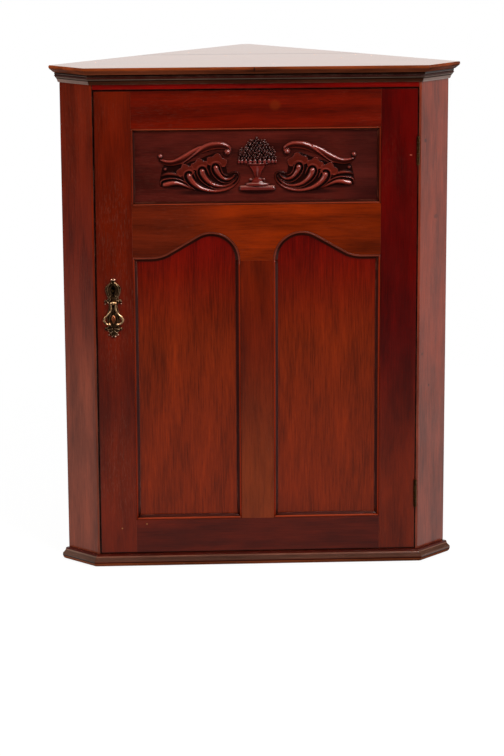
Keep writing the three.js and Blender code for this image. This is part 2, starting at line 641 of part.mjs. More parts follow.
// A footed basket of flowers: its stem, rim and flower heads in half relief
function makeBasket() {
  const outline = arc([0, 0], 1, Math.PI, 2 * Math.PI, reliefSteps);
  const rings = basketShares.map(([halfWidth, up, depth]) => outline.map(([a, b]) => [
    a * halfWidth * carvingReach,
    panelRecess + b * depth * carvingRelief,
    carvingHeight + up * carvingReach,
  ]));
  const body = loft(rings, outline);
  const spread = (count, last) => Array.from({ length: count },
    (unused, i) => last * ((2 * i) / (count - 1) - 1));
  const [lastBead, beadUp, beadWidth, beadHeight] = rimBeadShares;
  const beads = spread(rimBeadCount, lastBead).map((across) => dome(...carved([across, beadUp]),
    beadWidth * carvingReach, beadHeight * carvingReach, carvingRelief));
  const flowers = flowerShares.flatMap(([up, last, count]) => spread(count, last).map((across) => dome(
    ...carved([across, up]),
    flowerRadiusShare * carvingReach,
    flowerRadiusShare * carvingReach,
    carvingRelief,
  )));
  addPiece('carved_basket', carvedMahogany, keepWithin(join(body, ...beads, ...flowers), carvingSpace()));
}

const upright = (radius, low, high, x, y) => {
  const cylinder = new THREE.CylinderGeometry(radius, radius, 1, roundSides);
  return reshape(cylinder, (cx, cy, cz) => [x + cx, y - cz, cy < 0 ? low : high]);
};

// Butt hinge: the frame's leaf has the odd knuckles and the door's leaf the even ones.
function makeHinge(place, middle) {
  const low = middle - hingeLength / 2;
  const step = hingeLength / knuckleCount;
  const pinY = -knuckleProud;
  const clear = knuckleRadius - knuckleProud + 2 * joinGap;
  const bore = upright(pinRadius + runningGap, low - overrun, low + hingeLength + overrun, hingeX, pinY);
  const leaves = [['frame', 0, [openingHalf, openingHalf + leafThickness]],
    ['door', 1, [doorHalf - leafThickness, doorHalf]]];
  for (const [owner, first, across] of leaves) {
    const parts = [block(across, [clear, leafDepth], [low, low + hingeLength])];
    for (let n = first; n < knuckleCount; n += 2) {
      const from = low + n * step + (n > 0 ? joinGap / 2 : 0);
      const to = low + (n + 1) * step - (n + 1 < knuckleCount ? joinGap / 2 : 0);
      parts.push(upright(knuckleRadius, from, to, hingeX, pinY));
      parts.push(block(across, [pinY, clear + joinGap], [from, to]));
    }
    addPiece(`hinge_${owner}_leaf_${place}`, lockBrass, cut(join(...parts), bore));
  }
  const ends = low - joinGap;
  const top = low + hingeLength + joinGap;
  addPiece(`hinge_pin_${place}`, lockBrass, join(
    upright(pinRadius, ends - pinHeadLength / 2, top + pinHeadLength / 2, hingeX, pinY),
    upright(pinHeadRadius, ends - pinHeadLength, ends, hingeX, pinY),
    upright(pinHeadRadius, top, top + pinHeadLength, hingeX, pinY),
  ));
}

function makeLock() {
  const body = block([-doorHalf, lockCaseWidth - doorHalf], [caseFront, doorThickness],
    [caseTop - lockCaseHeight, caseTop]);
  const boltEnd = boltRest - doorHalf;
  const channel = block([-doorHalf - overrun, boltEnd + boltLength + joinGap], widen(boltDepths),
    widen(boltHeights));
  const boreOutline = arc([keyholeX, keyholeHeight], keyholeRadius, 0, 2 * Math.PI, roundSides).slice(1);
  const keyBore = frontPrism(boreOutline, caseFront - overrun, caseFront + keyBoreDepth);
  addPiece('lock_case', lockBrass, cut(body, channel, keyBore));
  addPiece('lock_bolt', lockBrass, block([boltEnd, boltEnd + boltLength], boltDepths, boltHeights));
}

const ball = (radius, [x, y, z]) => reshape(new THREE.SphereGeometry(radius, ballSides, ballBands),
  (sx, sy, sz) => [x + sx, y - sz, z + sy]);

function makePlate() {
  const right = plateShares.map(([out, up]) => new THREE.Vector2(keyholeX + out * plateHalfWidth,
    plateTop - plateHeight + up * plateHeight));
  const edge = new THREE.SplineCurve(right).getPoints(2 * plateShares.length).map(({ x, y }) => [x, y]);
  const outline = [...edge, ...edge.slice(1, -1).reverse().map(([x, z]) => [2 * keyholeX - x, z])];
  const sheet = frontPrism(outline, -plateThickness, 0);
  const knobs = plateKnobShares.flatMap(([out, up, size]) => (out > 0 ? [-out, out] : [0]).map(
    (place) => ball(size * plateHalfWidth, [keyholeX + place * plateHalfWidth, -plateThickness,
      plateTop - plateHeight + up * plateHeight]),
  ));
  const space = block([keyholeX - 2 * plateHalfWidth, keyholeX + 2 * plateHalfWidth], [-pivotReach, 0],
    [plateTop - 2 * plateHeight, plateTop + plateHeight]);
  addPiece('escutcheon_plate', agedBrass, keepWithin(cut(join(sheet, ...knobs),
    frontPrism(keyholeOutline(0), -pivotReach, overrun)), space));
}

const lying = (radius, from, to, [y, z]) => reshape(new THREE.CylinderGeometry(radius, radius, 1, roundSides),
  (cx, cy, cz) => [cy < 0 ? from : to, y - cx, z + cz]);

// A post with an eye carries the pivot pin of an open, pear-shaped drop with curled-in ball ends.
function makeHandle() {
  const pivot = [-pivotReach, pivotHeight];
  const post = reshape(new THREE.CylinderGeometry(postRadius, postRadius, 1, roundSides),
    (cx, cy, cz) => [keyholeX + cx, cy < 0 ? -pivotReach : -plateThickness, pivotHeight + cz]);
  const eye = lying(eyeRadius, keyholeX - eyeWidth / 2, keyholeX + eyeWidth / 2, pivot);
  const hole = lying(pivotPinRadius + pivotGap, keyholeX - eyeWidth, keyholeX + eyeWidth, pivot);
  addPiece('handle_post', agedBrass, cut(join(post, eye), hole));

  const arms = [-1, 1].flatMap((side) => {
    const rows = handleShares.map(([out, down]) => [keyholeX + side * out * handleDrop,
      pivotHeight - down * handleDrop, handleRadius]);
    const [endX, endZ] = rows[rows.length - 1];
    return [sweep(rows, handleSteps, handleSides, -pivotReach),
      ball(handleBallRadius, [endX, -pivotReach, endZ])];
  });
  const armX = handleShares[0][0] * handleDrop;
  const pin = lying(pivotPinRadius, keyholeX - armX, keyholeX + armX, pivot);
  const bosses = [-1, 1].map((side) => ball(pivotBossRadius, [keyholeX + side * armX, ...pivot]));
  addPiece('drop_handle', agedBrass, join(pin, ...bosses, ...arms));
}

cupboard.position.y = (topOverhang - backPlane) / 2;
makeTop();
makeMoulding('cornice', corniceShares, corniceProjection, topBottom - corniceHeight, corniceHeight);
makeCarcass();
makeMoulding('base_moulding', baseShares, baseProjection, 0, baseHeight);
makeShelves();
makeDoorFrame();
makePanels();
makePanelMouldings();
sides.forEach(([label, side]) => makeScroll(label, side));
makeBasket();
Object.entries(hingeHeights).forEach(([place, middle]) => makeHinge(place, middle));
makeLock();
makePlate();
makeHandle();

export default cupboard;
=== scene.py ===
# %% [markdown]
# # A mahogany corner cupboard with a carved door
# The cupboard stands in the angle of two walls, so it has a straight front, two slanted returns and a
# back that comes to a right angle. The solids of its boards, mouldings, hinges and lock are already made.
# This script gives them their finish: rounded arrises, full mouldings, the carving, the brass and the
# polish.

import json
import math
import random

import bmesh
import bpy
from mathutils import Matrix, Vector


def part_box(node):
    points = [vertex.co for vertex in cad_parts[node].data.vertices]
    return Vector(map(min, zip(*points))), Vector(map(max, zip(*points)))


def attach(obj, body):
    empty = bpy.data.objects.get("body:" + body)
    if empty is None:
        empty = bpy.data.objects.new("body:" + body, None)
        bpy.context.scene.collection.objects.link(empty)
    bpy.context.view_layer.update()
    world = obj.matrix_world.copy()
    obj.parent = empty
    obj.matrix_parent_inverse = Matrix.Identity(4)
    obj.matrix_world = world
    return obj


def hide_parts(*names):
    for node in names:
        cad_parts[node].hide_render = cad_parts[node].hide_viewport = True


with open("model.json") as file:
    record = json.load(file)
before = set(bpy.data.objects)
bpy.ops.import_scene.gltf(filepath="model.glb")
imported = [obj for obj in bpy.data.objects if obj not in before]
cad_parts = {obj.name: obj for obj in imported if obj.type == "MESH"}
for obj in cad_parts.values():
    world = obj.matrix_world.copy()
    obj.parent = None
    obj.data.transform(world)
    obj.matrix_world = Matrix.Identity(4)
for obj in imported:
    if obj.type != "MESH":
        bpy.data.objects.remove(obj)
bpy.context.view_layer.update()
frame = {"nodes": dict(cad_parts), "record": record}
mm = 0.001
body_of = {node: body for body, nodes in frame["record"]["behaviour"]["bodies"].items() for node in nodes}


# %% Helpers for objects and places
def new_object(name, data):
    """An object of the scene that shows the data."""
    thing = bpy.data.objects.new(name, data)
    bpy.context.scene.collection.objects.link(thing)
    return thing


def beside(place, across, up, out=0.0):
    """The place that lies some millimetres to the right of another one, above it and in front of it."""
    return place + Vector((across, -out, up)) * mm


print("one millimetre to the right of the middle:", beside(Vector(), 1, 0))

# %% [markdown]
# ## Camera
# The picture was taken from about four metres away, a little to the left of the cupboard and above it,
# with a long lens. A camera looks along its own -Z, so it is first stood up by a quarter turn about X,
# then tipped down, turned about Z, and rolled by a hair.

# %% Camera
picture_height = 756
focal_pixels = 2555.29
yaw, pitch, roll = 0.04591, 0.22508, -0.00494
eye = Vector((-0.19927, -4.31217, 1.27010))

lens = bpy.data.cameras.new("camera")
lens.sensor_width = 36
lens.lens = focal_pixels / picture_height * lens.sensor_width
camera = new_object("camera", lens)
bpy.context.scene.camera = camera
camera.matrix_world = (Matrix.Translation(eye) @ Matrix.Rotation(-yaw, 4, "Z")
                       @ Matrix.Rotation(math.pi / 2 - pitch, 4, "X") @ Matrix.Rotation(roll, 4, "Z"))
print(f"lens {lens.lens:.1f} mm at {eye.length:.2f} m")

# %% [markdown]
# ## Building shader trees in code
# A shader tree in code soon fills pages when each socket takes a line. This helper makes a node, sets its
# options, and fills its sockets by name: with a link where the value is another node's output, or else
# with the plain value.

# %% Helpers for colours and shader nodes
def ink(red, green, blue):
    """A colour as a screen shows it, 0 to 255, turned into the linear values that shaders work in."""
    shares = (channel / 255 for channel in (red, green, blue))
    return (*(s / 12.92 if s <= 0.04045 else ((s + 0.055) / 1.055) ** 2.4 for s in shares), 1)


def add_node(tree, kind, sockets=None, **options):
    node = tree.nodes.new(kind)
    for option, value in options.items():
        setattr(node, option, value)
    for socket, value in (sockets or {}).items():
        if isinstance(value, bpy.types.NodeSocket):
            tree.links.new(value, node.inputs[socket])
        else:
            node.inputs[socket].default_value = value
    return node


def add_maths(tree, operation, first, second=0.0):
    return add_node(tree, "ShaderNodeMath", {0: first, 1: second}, operation=operation).outputs[0]


def add_vector_maths(tree, operation, *values):
    return add_node(tree, "ShaderNodeVectorMath", dict(enumerate(values)), operation=operation).outputs


def add_noise(tree, vector, scale, detail, roughness=0.5):
    return add_node(tree, "ShaderNodeTexNoise", {
        "Vector": vector, "Scale": scale, "Detail": detail, "Roughness": roughness}).outputs


def add_place(tree):
    """Where a point lies in its own piece, which stays the same when the piece moves."""
    return add_node(tree, "ShaderNodeTexCoord").outputs["Object"]


def add_mix(tree, share, first, second, blend="MIX"):
    mix = add_node(tree, "ShaderNodeMix", {0: share, 6: first, 7: second}, data_type="RGBA", blend_type=blend)
    return mix.outputs[2]


def add_range(tree, value, low, high, to_low=0.0, to_high=1.0):
    node = add_node(tree, "ShaderNodeMapRange", {0: value, 1: low, 2: high, 3: to_low, 4: to_high},
                    interpolation_type="SMOOTHSTEP")
    return node.outputs[0]


def new_group(name, inputs, outputs):
    """A node group with named sockets: its tree, the sockets that feed it and the node that ends it."""
    tree = bpy.data.node_groups.new(name, "ShaderNodeTree")
    for label, value in inputs.items():
        kind = ("NodeSocketFloat" if isinstance(value, float)
                else "NodeSocketColor" if len(value) == 4 else "NodeSocketVector")
        tree.interface.new_socket(label, in_out="INPUT", socket_type=kind).default_value = value
    for label, kind in outputs.items():
        tree.interface.new_socket(label, in_out="OUTPUT", socket_type=f"NodeSocket{kind}")
    return tree, tree.nodes.new("NodeGroupInput").outputs, tree.nodes.new("NodeGroupOutput")


def end_group(tree, last, sockets):
    for label, socket in sockets.items():
        tree.links.new(socket, last.inputs[label])
    print(f"group {tree.name!r}: {len(tree.nodes)} nodes")


def new_material(name):
    """A material and its empty tree."""
    material = bpy.data.materials.new(name)
    material.use_nodes = True
    material.node_tree.nodes.clear()
    return material, material.node_tree


print("shader helpers ready; middle grey is", [round(c, 3) for c in ink(128, 128, 128)])

# %% [markdown]
# ## Floor, light and surroundings
# The cupboard stands on a pale floor against white. A polished face works as a mirror at a slant: the
# right return shows a wall beside the cupboard that is bright low down, the left return shows the pale
# floor beside it, and the top shows what is behind it. The front mirrors the dark side of the room, where
# the camera stands, which is why its red stays deep. So the world gives mirrored rays a different
# brightness in each direction, with a window at the upper right that puts a glint on every round form of
# the carving, and the pale floor only where it lies a few metres off. Matt surfaces get an even light,
# and the camera sees white.

# %% World
bpy.context.scene.view_settings.view_transform = "Standard"

ambient = 0.5
# Each bright side of the room: where its light begins, where it is full, and its brightness
bright_sides = {"right": (0.8, 0.93, 2.05), "left": (0.8, 0.93, 1.15), "behind": (0.7, 0.9, 1.06),
                "above": (0.6, 0.95, 0.3)}
window_toward, window_glow = Vector((0.42, -0.5, 0.76)).normalized(), 18.0
pale_floor_glow, dark_room_glow = 0.65, 0.01

world = bpy.data.worlds.new("white surroundings")
bpy.context.scene.world = world
world.use_nodes = True
tree = world.node_tree
tree.nodes.clear()
toward = add_node(tree, "ShaderNodeTexCoord").outputs["Generated"]
across, depth, up = add_node(tree, "ShaderNodeSeparateXYZ", {0: toward}).outputs
places = {"right": across, "left": add_maths(tree, "MULTIPLY", across, -1.0), "behind": depth, "above": up}
facing = add_vector_maths(tree, "DOT_PRODUCT", toward, window_toward)["Value"]
glow = add_range(tree, facing, 0.93, 0.985, dark_room_glow, window_glow)
pale_floor = add_maths(tree, "MULTIPLY", add_range(tree, up, -0.17, -0.28), add_range(tree, up, -0.5, -0.36))
glow = add_maths(tree, "MAXIMUM", glow, add_maths(tree, "MULTIPLY", pale_floor, pale_floor_glow))
only_where = {"left": add_range(tree, up, -0.12, -0.28), "right": add_range(tree, up, 0.16, 0.02, 0.4, 1.0)}
for side, (begins, full, brightness) in bright_sides.items():
    shine = add_range(tree, places[side], begins, full, 0.0, brightness)
    if side in only_where:
        shine = add_maths(tree, "MULTIPLY", shine, only_where[side])
    glow = add_maths(tree, "MAXIMUM", glow, shine)
ray = add_node(tree, "ShaderNodeLightPath").outputs
mirror_ray = add_maths(tree, "MAXIMUM", ray["Is Glossy Ray"], ray["Is Transmission Ray"])
matt = add_node(tree, "ShaderNodeMix", {0: mirror_ray, 2: ambient, 3: glow}).outputs[0]
strength = add_node(tree, "ShaderNodeMix", {0: ray["Is Camera Ray"], 2: matt, 3: 1.0}).outputs[0]
background = add_node(tree, "ShaderNodeBackground", {"Color": (1, 1, 1, 1), "Strength": strength})
add_node(tree, "ShaderNodeOutputWorld", {"Surface": background.outputs[0]})
print("world:", len(tree.nodes), "nodes")

# %% Floor
# The camera sees the floor mostly as plain white, with a small share of its real, shadowed surface.
# Mirrored rays pass through it to the world, which has a floor of its own for them.
floor_reach = 1.3
shadow_share = 0.14
paper_glow = 1.09
shape = bmesh.new()
bmesh.ops.create_grid(shape, x_segments=1, y_segments=1, size=floor_reach)
floor_mesh = bpy.data.meshes.new("floor")
shape.to_mesh(floor_mesh)
shape.free()
floor = new_object("floor", floor_mesh)

paper, tree = new_material("white paper floor")
ray = add_node(tree, "ShaderNodeLightPath").outputs
seen = add_maths(tree, "MAXIMUM", ray["Is Camera Ray"], ray["Is Transmission Ray"])
lit = add_node(tree, "ShaderNodeBsdfDiffuse", {"Color": (0.82, 0.82, 0.82, 1)})
white = add_node(tree, "ShaderNodeEmission", {"Color": (1, 1, 1, 1), "Strength": paper_glow})
shown = add_node(tree, "ShaderNodeMixShader", {
    0: add_maths(tree, "MULTIPLY", seen, 1 - shadow_share), 1: lit.outputs[0], 2: white.outputs[0]})
clear = add_node(tree, "ShaderNodeBsdfTransparent")
either = add_node(tree, "ShaderNodeMixShader", {
    0: ray["Is Glossy Ray"], 1: shown.outputs[0], 2: clear.outputs[0]})
add_node(tree, "ShaderNodeOutputMaterial", {"Surface": either.outputs[0]})
floor_mesh.materials.append(paper)
print(f"floor: {2 * floor_reach} m square")

# %% Lamps
lamps = {
    "soft box at the upper right": ((1.1, -2.3, 2.4), 0.9, 36),
    "soft box at the left": ((-2.0, -1.9, 1.4), 1.2, 13),
}
aim = Vector((0, -0.1, 0.45))
for name, (place, size, power) in lamps.items():
    light = bpy.data.lights.new(name, "AREA")
    light.shape = "SQUARE"
    light.size = size
    light.energy = power
    lamp = new_object(name, light)
    lamp.location = place
    lamp.rotation_euler = (aim - lamp.location).to_track_quat("-Z", "Y").to_euler()
    print(f"{name}: {power} W, {(aim - lamp.location).length:.2f} m away")

# %% [markdown]
# ## Grain
# Mahogany shows soft clouds of colour a few centimetres long, fine straight lines along the board, and
# short dark pores. Old polish adds pale flecks where it has crazed. All of them come from noise that is
# squeezed along the grain, so a spot becomes a streak. The group works in the board's own space, where Z
# runs along the grain; each board turns and shifts that space, so that no two match.

# %% Grain group
tree, given, last = new_group("grain of a board", {
    "Vector": (0.0, 0.0, 0.0), "Dark": (0.1, 0.02, 0.01, 1), "Light": (0.3, 0.05, 0.02, 1), "Clouds": 1.0,
    "Lines": 1.0, "Flame": 0.3, "Pores": 1.0, "Flecks": 0.5},
    {"Color": "Color", "Pores": "Float", "Tone": "Float"})
pore_ink, fleck_ink = (0.012, 0.003, 0.002, 1), ink(128, 84, 66)


def squeezed(vector, share):
    """The same space with its Z shortened to a share, so that a spot in it becomes a streak."""
    return add_vector_maths(tree, "MULTIPLY", vector, (1, 1, share))[0]


drift = add_noise(tree, squeezed(given["Vector"], 0.3), 7.0, 2.0)["Color"]
bend = add_vector_maths(tree, "MULTIPLY_ADD", drift, (0.016, 0.016, 0.0), given["Vector"])[0]
clouds = add_noise(tree, squeezed(bend, 0.24), 26.0, 4.0, 0.55)
lines = add_noise(tree, squeezed(bend, 0.045), 480.0, 3.0, 0.62)
flame = add_node(tree, "ShaderNodeTexWave", {
    "Vector": squeezed(bend, 0.16), "Scale": 9.0, "Distortion": 7.0, "Detail": 4.0, "Detail Scale": 1.6,
    "Detail Roughness": 0.6}, wave_type="RINGS", rings_direction="Z").outputs
dots = add_noise(tree, squeezed(bend, 0.05), 1700.0, 1.0)["Fac"]
pores = add_maths(tree, "MULTIPLY", add_range(tree, dots, 0.58, 0.7), given["Pores"])
tone = 0.5
for pattern, amount, gain in [(clouds, "Clouds", 2.2), (lines, "Lines", 1.5), (flame, "Flame", 0.8)]:
    swing = add_maths(tree, "MULTIPLY", add_maths(tree, "SUBTRACT", pattern["Fac"], 0.5), gain)
    tone = add_maths(tree, "ADD", add_maths(tree, "MULTIPLY", swing, given[amount]), tone)
tone = add_node(tree, "ShaderNodeClamp", {0: tone}).outputs[0]
wood = add_mix(tree, tone, given["Dark"], given["Light"])
wood = add_mix(tree, add_maths(tree, "MULTIPLY", pores, 0.4), wood, pore_ink)
hairs = add_noise(tree, squeezed(given["Vector"], 0.1), 1100.0, 2.0)["Fac"]
where = add_noise(tree, squeezed(given["Vector"], 0.4), 12.0, 3.0)["Fac"]
flecks = add_maths(tree, "MULTIPLY", add_range(tree, hairs, 0.54, 0.68), add_range(tree, where, 0.45, 0.62))
flecks = add_maths(tree, "MULTIPLY", flecks, given["Flecks"])
wood = add_mix(tree, add_maths(tree, "MULTIPLY", flecks, 0.5), wood, fleck_ink)
end_group(tree, last, {"Color": wood, "Pores": pores, "Tone": tone})
grain_group = tree

# %% [markdown]
# ## Age and painted shade
# Hands and dusters rub the polish off the arrises, and old wax stays dark in the corners they can't
# reach. The Bevel node bends the normal near an edge; where it differs from the true normal there is an
# arris. Ambient Occlusion finds the corners and darkens them, partly for the wax and partly as painted
# shade, which keeps the grooves of the carving nearly black. Both feed one group that every finish uses
# with its own colours.

# %% Age and painted shade group
tree, given, last = new_group("age_and_shade", {
    "Color": (0.5, 0.5, 0.5, 1), "Worn": (0.6, 0.4, 0.3, 1), "Grime and shade": (0.02, 0.01, 0.01, 1), "Wear": 0.3,
    "Dirt and shade": 0.6, "Reach": 0.007}, {"Color": "Color", "Worn": "Float", "Grime and shade": "Float"})
rub_width = 1.1 * mm
rounded = add_node(tree, "ShaderNodeBevel", {"Radius": rub_width}, samples=4).outputs[0]
flat = add_node(tree, "ShaderNodeNewGeometry").outputs["Normal"]
same = add_vector_maths(tree, "DOT_PRODUCT", rounded, flat)["Value"]
patch = add_noise(tree, add_place(tree), 45.0, 4.0)["Fac"]
worn = add_maths(tree, "MULTIPLY", add_range(tree, same, 0.985, 0.86), add_range(tree, patch, 0.38, 0.62))
worn = add_maths(tree, "MULTIPLY", worn, given["Wear"])
open_air = add_node(tree, "ShaderNodeAmbientOcclusion", {"Distance": given["Reach"]}, samples=6,
                    only_local=True)
# Ambient occlusion darkens corners and hollows: partly real wax and grime, partly painted shade.
grime_and_shade = add_maths(tree, "MULTIPLY", add_range(tree, open_air.outputs["AO"], 0.95, 0.5), given["Dirt and shade"])
aged = add_mix(tree, grime_and_shade, given["Color"], given["Grime and shade"])
aged = add_mix(tree, worn, aged, given["Worn"])
end_group(tree, last, {"Color": aged, "Worn": worn, "Grime and shade": grime_and_shade})
age_and_shade_group = tree

# %% [markdown]
# ## Tints and marks
# Old polish isn't even, and the tints also paint light and shade. Painted shade darkens the gap round the
# door; the colour changes over the height of a door, paler low down partly in the wood's own tone and
# partly as a painted reflection of the floor; and the members of a moulding carry painted highlights and
# painted shadows besides their own tones. A tint fades in between two places along an axis of the piece,
# and out again between two more; it changes the plain tone, and the grain is laid over the result. Axes 0
# to 2 are places in the piece, and axes 3 to 5 are the direction that its surface faces. A mark is a small
# spot at one place: a knot, a bruise, a filled nail hole, and in a few places painted shade and light.
# Both read the piece's own space, so they stay on the wood when the door swings.

# %% Helpers for tints and marks
def add_tints(tree, colour, tints):
    """Tints are (axis, places of its ends, colour, strength)."""
    space = add_node(tree, "ShaderNodeTexCoord")
    axes = [output for kind in ("Object", "Normal")
            for output in add_node(tree, "ShaderNodeSeparateXYZ", {0: space.outputs[kind]}).outputs]
    for axis, places, tint, share in tints:
        amount = add_range(tree, axes[axis], places[0], places[1])
        if len(places) == 4:
            amount = add_maths(tree, "MULTIPLY", amount, add_range(tree, axes[axis], places[3], places[2]))
        colour = add_mix(tree, add_maths(tree, "MULTIPLY", amount, share), colour, ink(*tint))
    return colour


def add_marks(tree, colour, marks):
    """Marks are (place, three radii in millimetres, colour, strength)."""
    place = add_place(tree)
    for centre, radii, tint, share in marks:
        apart = add_vector_maths(tree, "SUBTRACT", place, centre)[0]
        spread = add_vector_maths(tree, "MULTIPLY", apart, [1 / (r * mm) for r in radii])[0]
        amount = add_range(tree, add_vector_maths(tree, "LENGTH", spread)["Value"], 1.0, 0.4)
        colour = add_mix(tree, add_maths(tree, "MULTIPLY", amount, share), colour, ink(*tint))
    return colour


print("tints and marks ready")

# %% [markdown]
# ## French polish
# The door has a thin, glossy film of shellac over the wood. In the Principled shader that film is the
# coat; the wood below it keeps a weak gloss of its own. Each board gets a material of its own from one
# function, because a Mapping node has to turn the grain along that board. The figures of the coat are the
# same all over, so they are plain values on the shader.

# %% Wood finish
def grain_space(tree, along, cut, name):
    """Object coordinates turned so that Z runs along the grain, and shifted by the board's own amount."""
    luck = random.Random(name)
    upright = Vector(along).rotation_difference(Vector((0, 0, 1))).to_matrix()
    turn = Matrix.Rotation(math.radians(cut), 3, "Z") @ upright
    shift = [luck.uniform(0.05, 0.6) for axis in "xyz"]
    return add_node(tree, "ShaderNodeMapping", {
        "Vector": add_place(tree), "Rotation": turn.to_euler(), "Location": shift}).outputs[0]


def add_age_and_shade(tree, colour, worn, grime_and_shade, wear, dirt_and_shade, reach):
    return add_node(tree, "ShaderNodeGroup", {
        "Color": colour, "Worn": ink(*worn), "Grime and shade": ink(*grime_and_shade), "Wear": wear, "Dirt and shade": dirt_and_shade,
        "Reach": reach * mm}, node_tree=age_and_shade_group).outputs


def wood_finish(name, along, tone, contrast=0.2, cut=0, clouds=1.0, lines=0.8, flame=0.3, pores=0.5,
                flecks=0.2, wear=0.3, dirt_and_shade=0.5, reach=7, worn=(150, 66, 40), grime_and_shade=(12, 3, 2), coat=0.38,
                film_roughness=0.1, gloss=0.34, sheen=0.04, film_ends=None, tints=(), marks=()):
    """One board's polish. Tones are screen colours, cut is in degrees and reach in millimetres."""
    material, tree = new_material(name)
    vector = grain_space(tree, along, cut, name)
    tinted = add_tints(tree, ink(*tone), tints)
    dark, light = (add_mix(tree, 1.0, tinted, (share ** 2.2,) * 3 + (1,), "MULTIPLY")
                   for share in (1 - contrast, 1 + contrast))
    grain = add_node(tree, "ShaderNodeGroup", {
        "Vector": vector, "Dark": dark, "Light": light, "Clouds": clouds, "Lines": lines, "Flame": flame,
        "Pores": pores, "Flecks": flecks}, node_tree=grain_group).outputs
    age_and_shade = add_age_and_shade(tree, add_marks(tree, grain["Color"], marks), worn, grime_and_shade, wear, dirt_and_shade, reach)
    patches = add_noise(tree, vector, 22.0, 5.0)["Fac"]
    rub = add_range(tree, patches, 0.3, 0.7, gloss - 0.06, gloss + 0.1)
    dull = add_maths(tree, "ADD", rub, add_maths(tree, "MULTIPLY", age_and_shade["Grime and shade"], 0.3))
    relief = add_maths(tree, "SUBTRACT", add_maths(tree, "MULTIPLY", grain["Tone"], 0.25), grain["Pores"])
    bump = add_node(tree, "ShaderNodeBump", {"Strength": 0.3, "Distance": 0.1 * mm, "Height": relief})
    film = add_maths(tree, "MULTIPLY", add_maths(tree, "SUBTRACT", 1.0, age_and_shade["Grime and shade"]), coat)
    if film_ends:
        depth = add_node(tree, "ShaderNodeSeparateXYZ", {0: add_place(tree)}).outputs["Y"]
        film = add_maths(tree, "MULTIPLY", film, add_range(tree, depth, film_ends[1], film_ends[0]))
    shader = add_node(tree, "ShaderNodeBsdfPrincipled", {
        "Base Color": age_and_shade["Color"], "Roughness": dull, "Normal": bump.outputs[0], "Coat Weight": film,
        "Coat Roughness": film_roughness, "Coat IOR": 1.45, "Specular IOR Level": sheen})
    add_node(tree, "ShaderNodeOutputMaterial", {"Surface": shader.outputs[0]})
    return material


print("wood finish: each board gets its own grain space")

# %% [markdown]
# ## Boards
# A joiner's board has flat faces, and arrises that were eased with a block. Every board starts as a copy
# of its solid: the loose triangles are merged, flat regions are dissolved into single faces, and then the
# arrises between broad faces are bevelled. A weighted normal keeps the broad faces flat in the light, and
# only the arris turns.

# %% Helpers that turn a solid into a finished board
same_place, same_plane = 0.01 * mm, math.radians(0.3)


def merged_copy(node, flatten=True):
    shape = bmesh.new()
    shape.from_mesh(frame["nodes"][node].data)
    bmesh.ops.remove_doubles(shape, verts=shape.verts, dist=same_place)
    if flatten:
        bmesh.ops.dissolve_limit(shape, angle_limit=same_plane, verts=shape.verts, edges=shape.edges)
    return shape


def turn_of(edge):
    return math.degrees(edge.calc_face_angle(0))


def bevel(shape, edges, width, segments=2, clamp=False):
    bmesh.ops.bevel(shape, geom=edges, affect="EDGES", offset=width * mm, offset_type="OFFSET",
                    segments=segments, profile=0.5, material=-1, clamp_overlap=clamp)


def ease(shape, width, segments=2, narrowest=0.45, gentlest=30, hollows=False):
    """Bevels the arrises that turn by more than the gentlest angle, between faces broad enough to carry it.
    Inner corners stay sharp, as a plane leaves them, unless the hollows of a moulding are rounded too."""
    def broad(face):
        return face.calc_area() / face.calc_perimeter() > narrowest * mm

    bevel(shape, [edge for edge in shape.edges
                  if turn_of(edge) > gentlest and all(broad(face) for face in edge.link_faces)
                  and (hollows or edge.calc_face_angle_signed(0) > 0)], width, segments)


def add_piece(name, shape, material, stands_for=(), body=None, sharp=40, flat=False):
    """Makes a piece of a bmesh and lets it ride on its body in place of the solids that it stands for."""
    for face in shape.faces:
        face.smooth = True
    for edge in shape.edges:
        edge.smooth = not edge.is_manifold or turn_of(edge) < sharp
    mesh = bpy.data.meshes.new(name)
    shape.to_mesh(mesh)
    shape.free()
    mesh.materials.append(material)
    piece = new_object(name, mesh)
    if flat:
        weights = piece.modifiers.new("flat faces stay flat", "WEIGHTED_NORMAL")
        weights.keep_sharp = True
    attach(piece, body or body_of[stands_for[0]])
    if stands_for:
        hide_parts(*stands_for)
    print(f"{name}: {len(mesh.polygons)} faces")
    return piece


def add_board(node, material, arris):
    shape = merged_copy(node)
    ease(shape, arris)
    return add_piece(f"{node}_board", shape, material, stands_for=[node], sharp=50, flat=True)


# %% Gap round the door
# The gap is nearly black with shade, so the polish on both sides of it is painted dark as shade. The
# edges of the door itself keep their red, apart from painted shade along its top edge.
door_low, door_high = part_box("lock_stile")[0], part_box("hinge_stile")[1]
door_gap = 1.5 * mm
# The colour of the painted shade along the gap round the door.
painted_gap_shade = (12, 1, 0)


def dark_past(axis, place, onward, reach=1.6, until=(), tint=painted_gap_shade):
    """A painted shade that starts some millimetres before an edge, is full close to it and may end again
    there.
    """
    steps = (reach, 0.25 * reach, *until)
    return ["XYZ".index(axis), [place - onward * step * mm for step in steps], tint, 0.95]


print(f"door: {(door_high.x - door_low.x) / mm:.0f} by {(door_high.z - door_low.z) / mm:.0f} mm")

# %% Carcass boards
level, upright_grain = (1, 0, 0), (0, 0, 1)
door_face = door_low.y
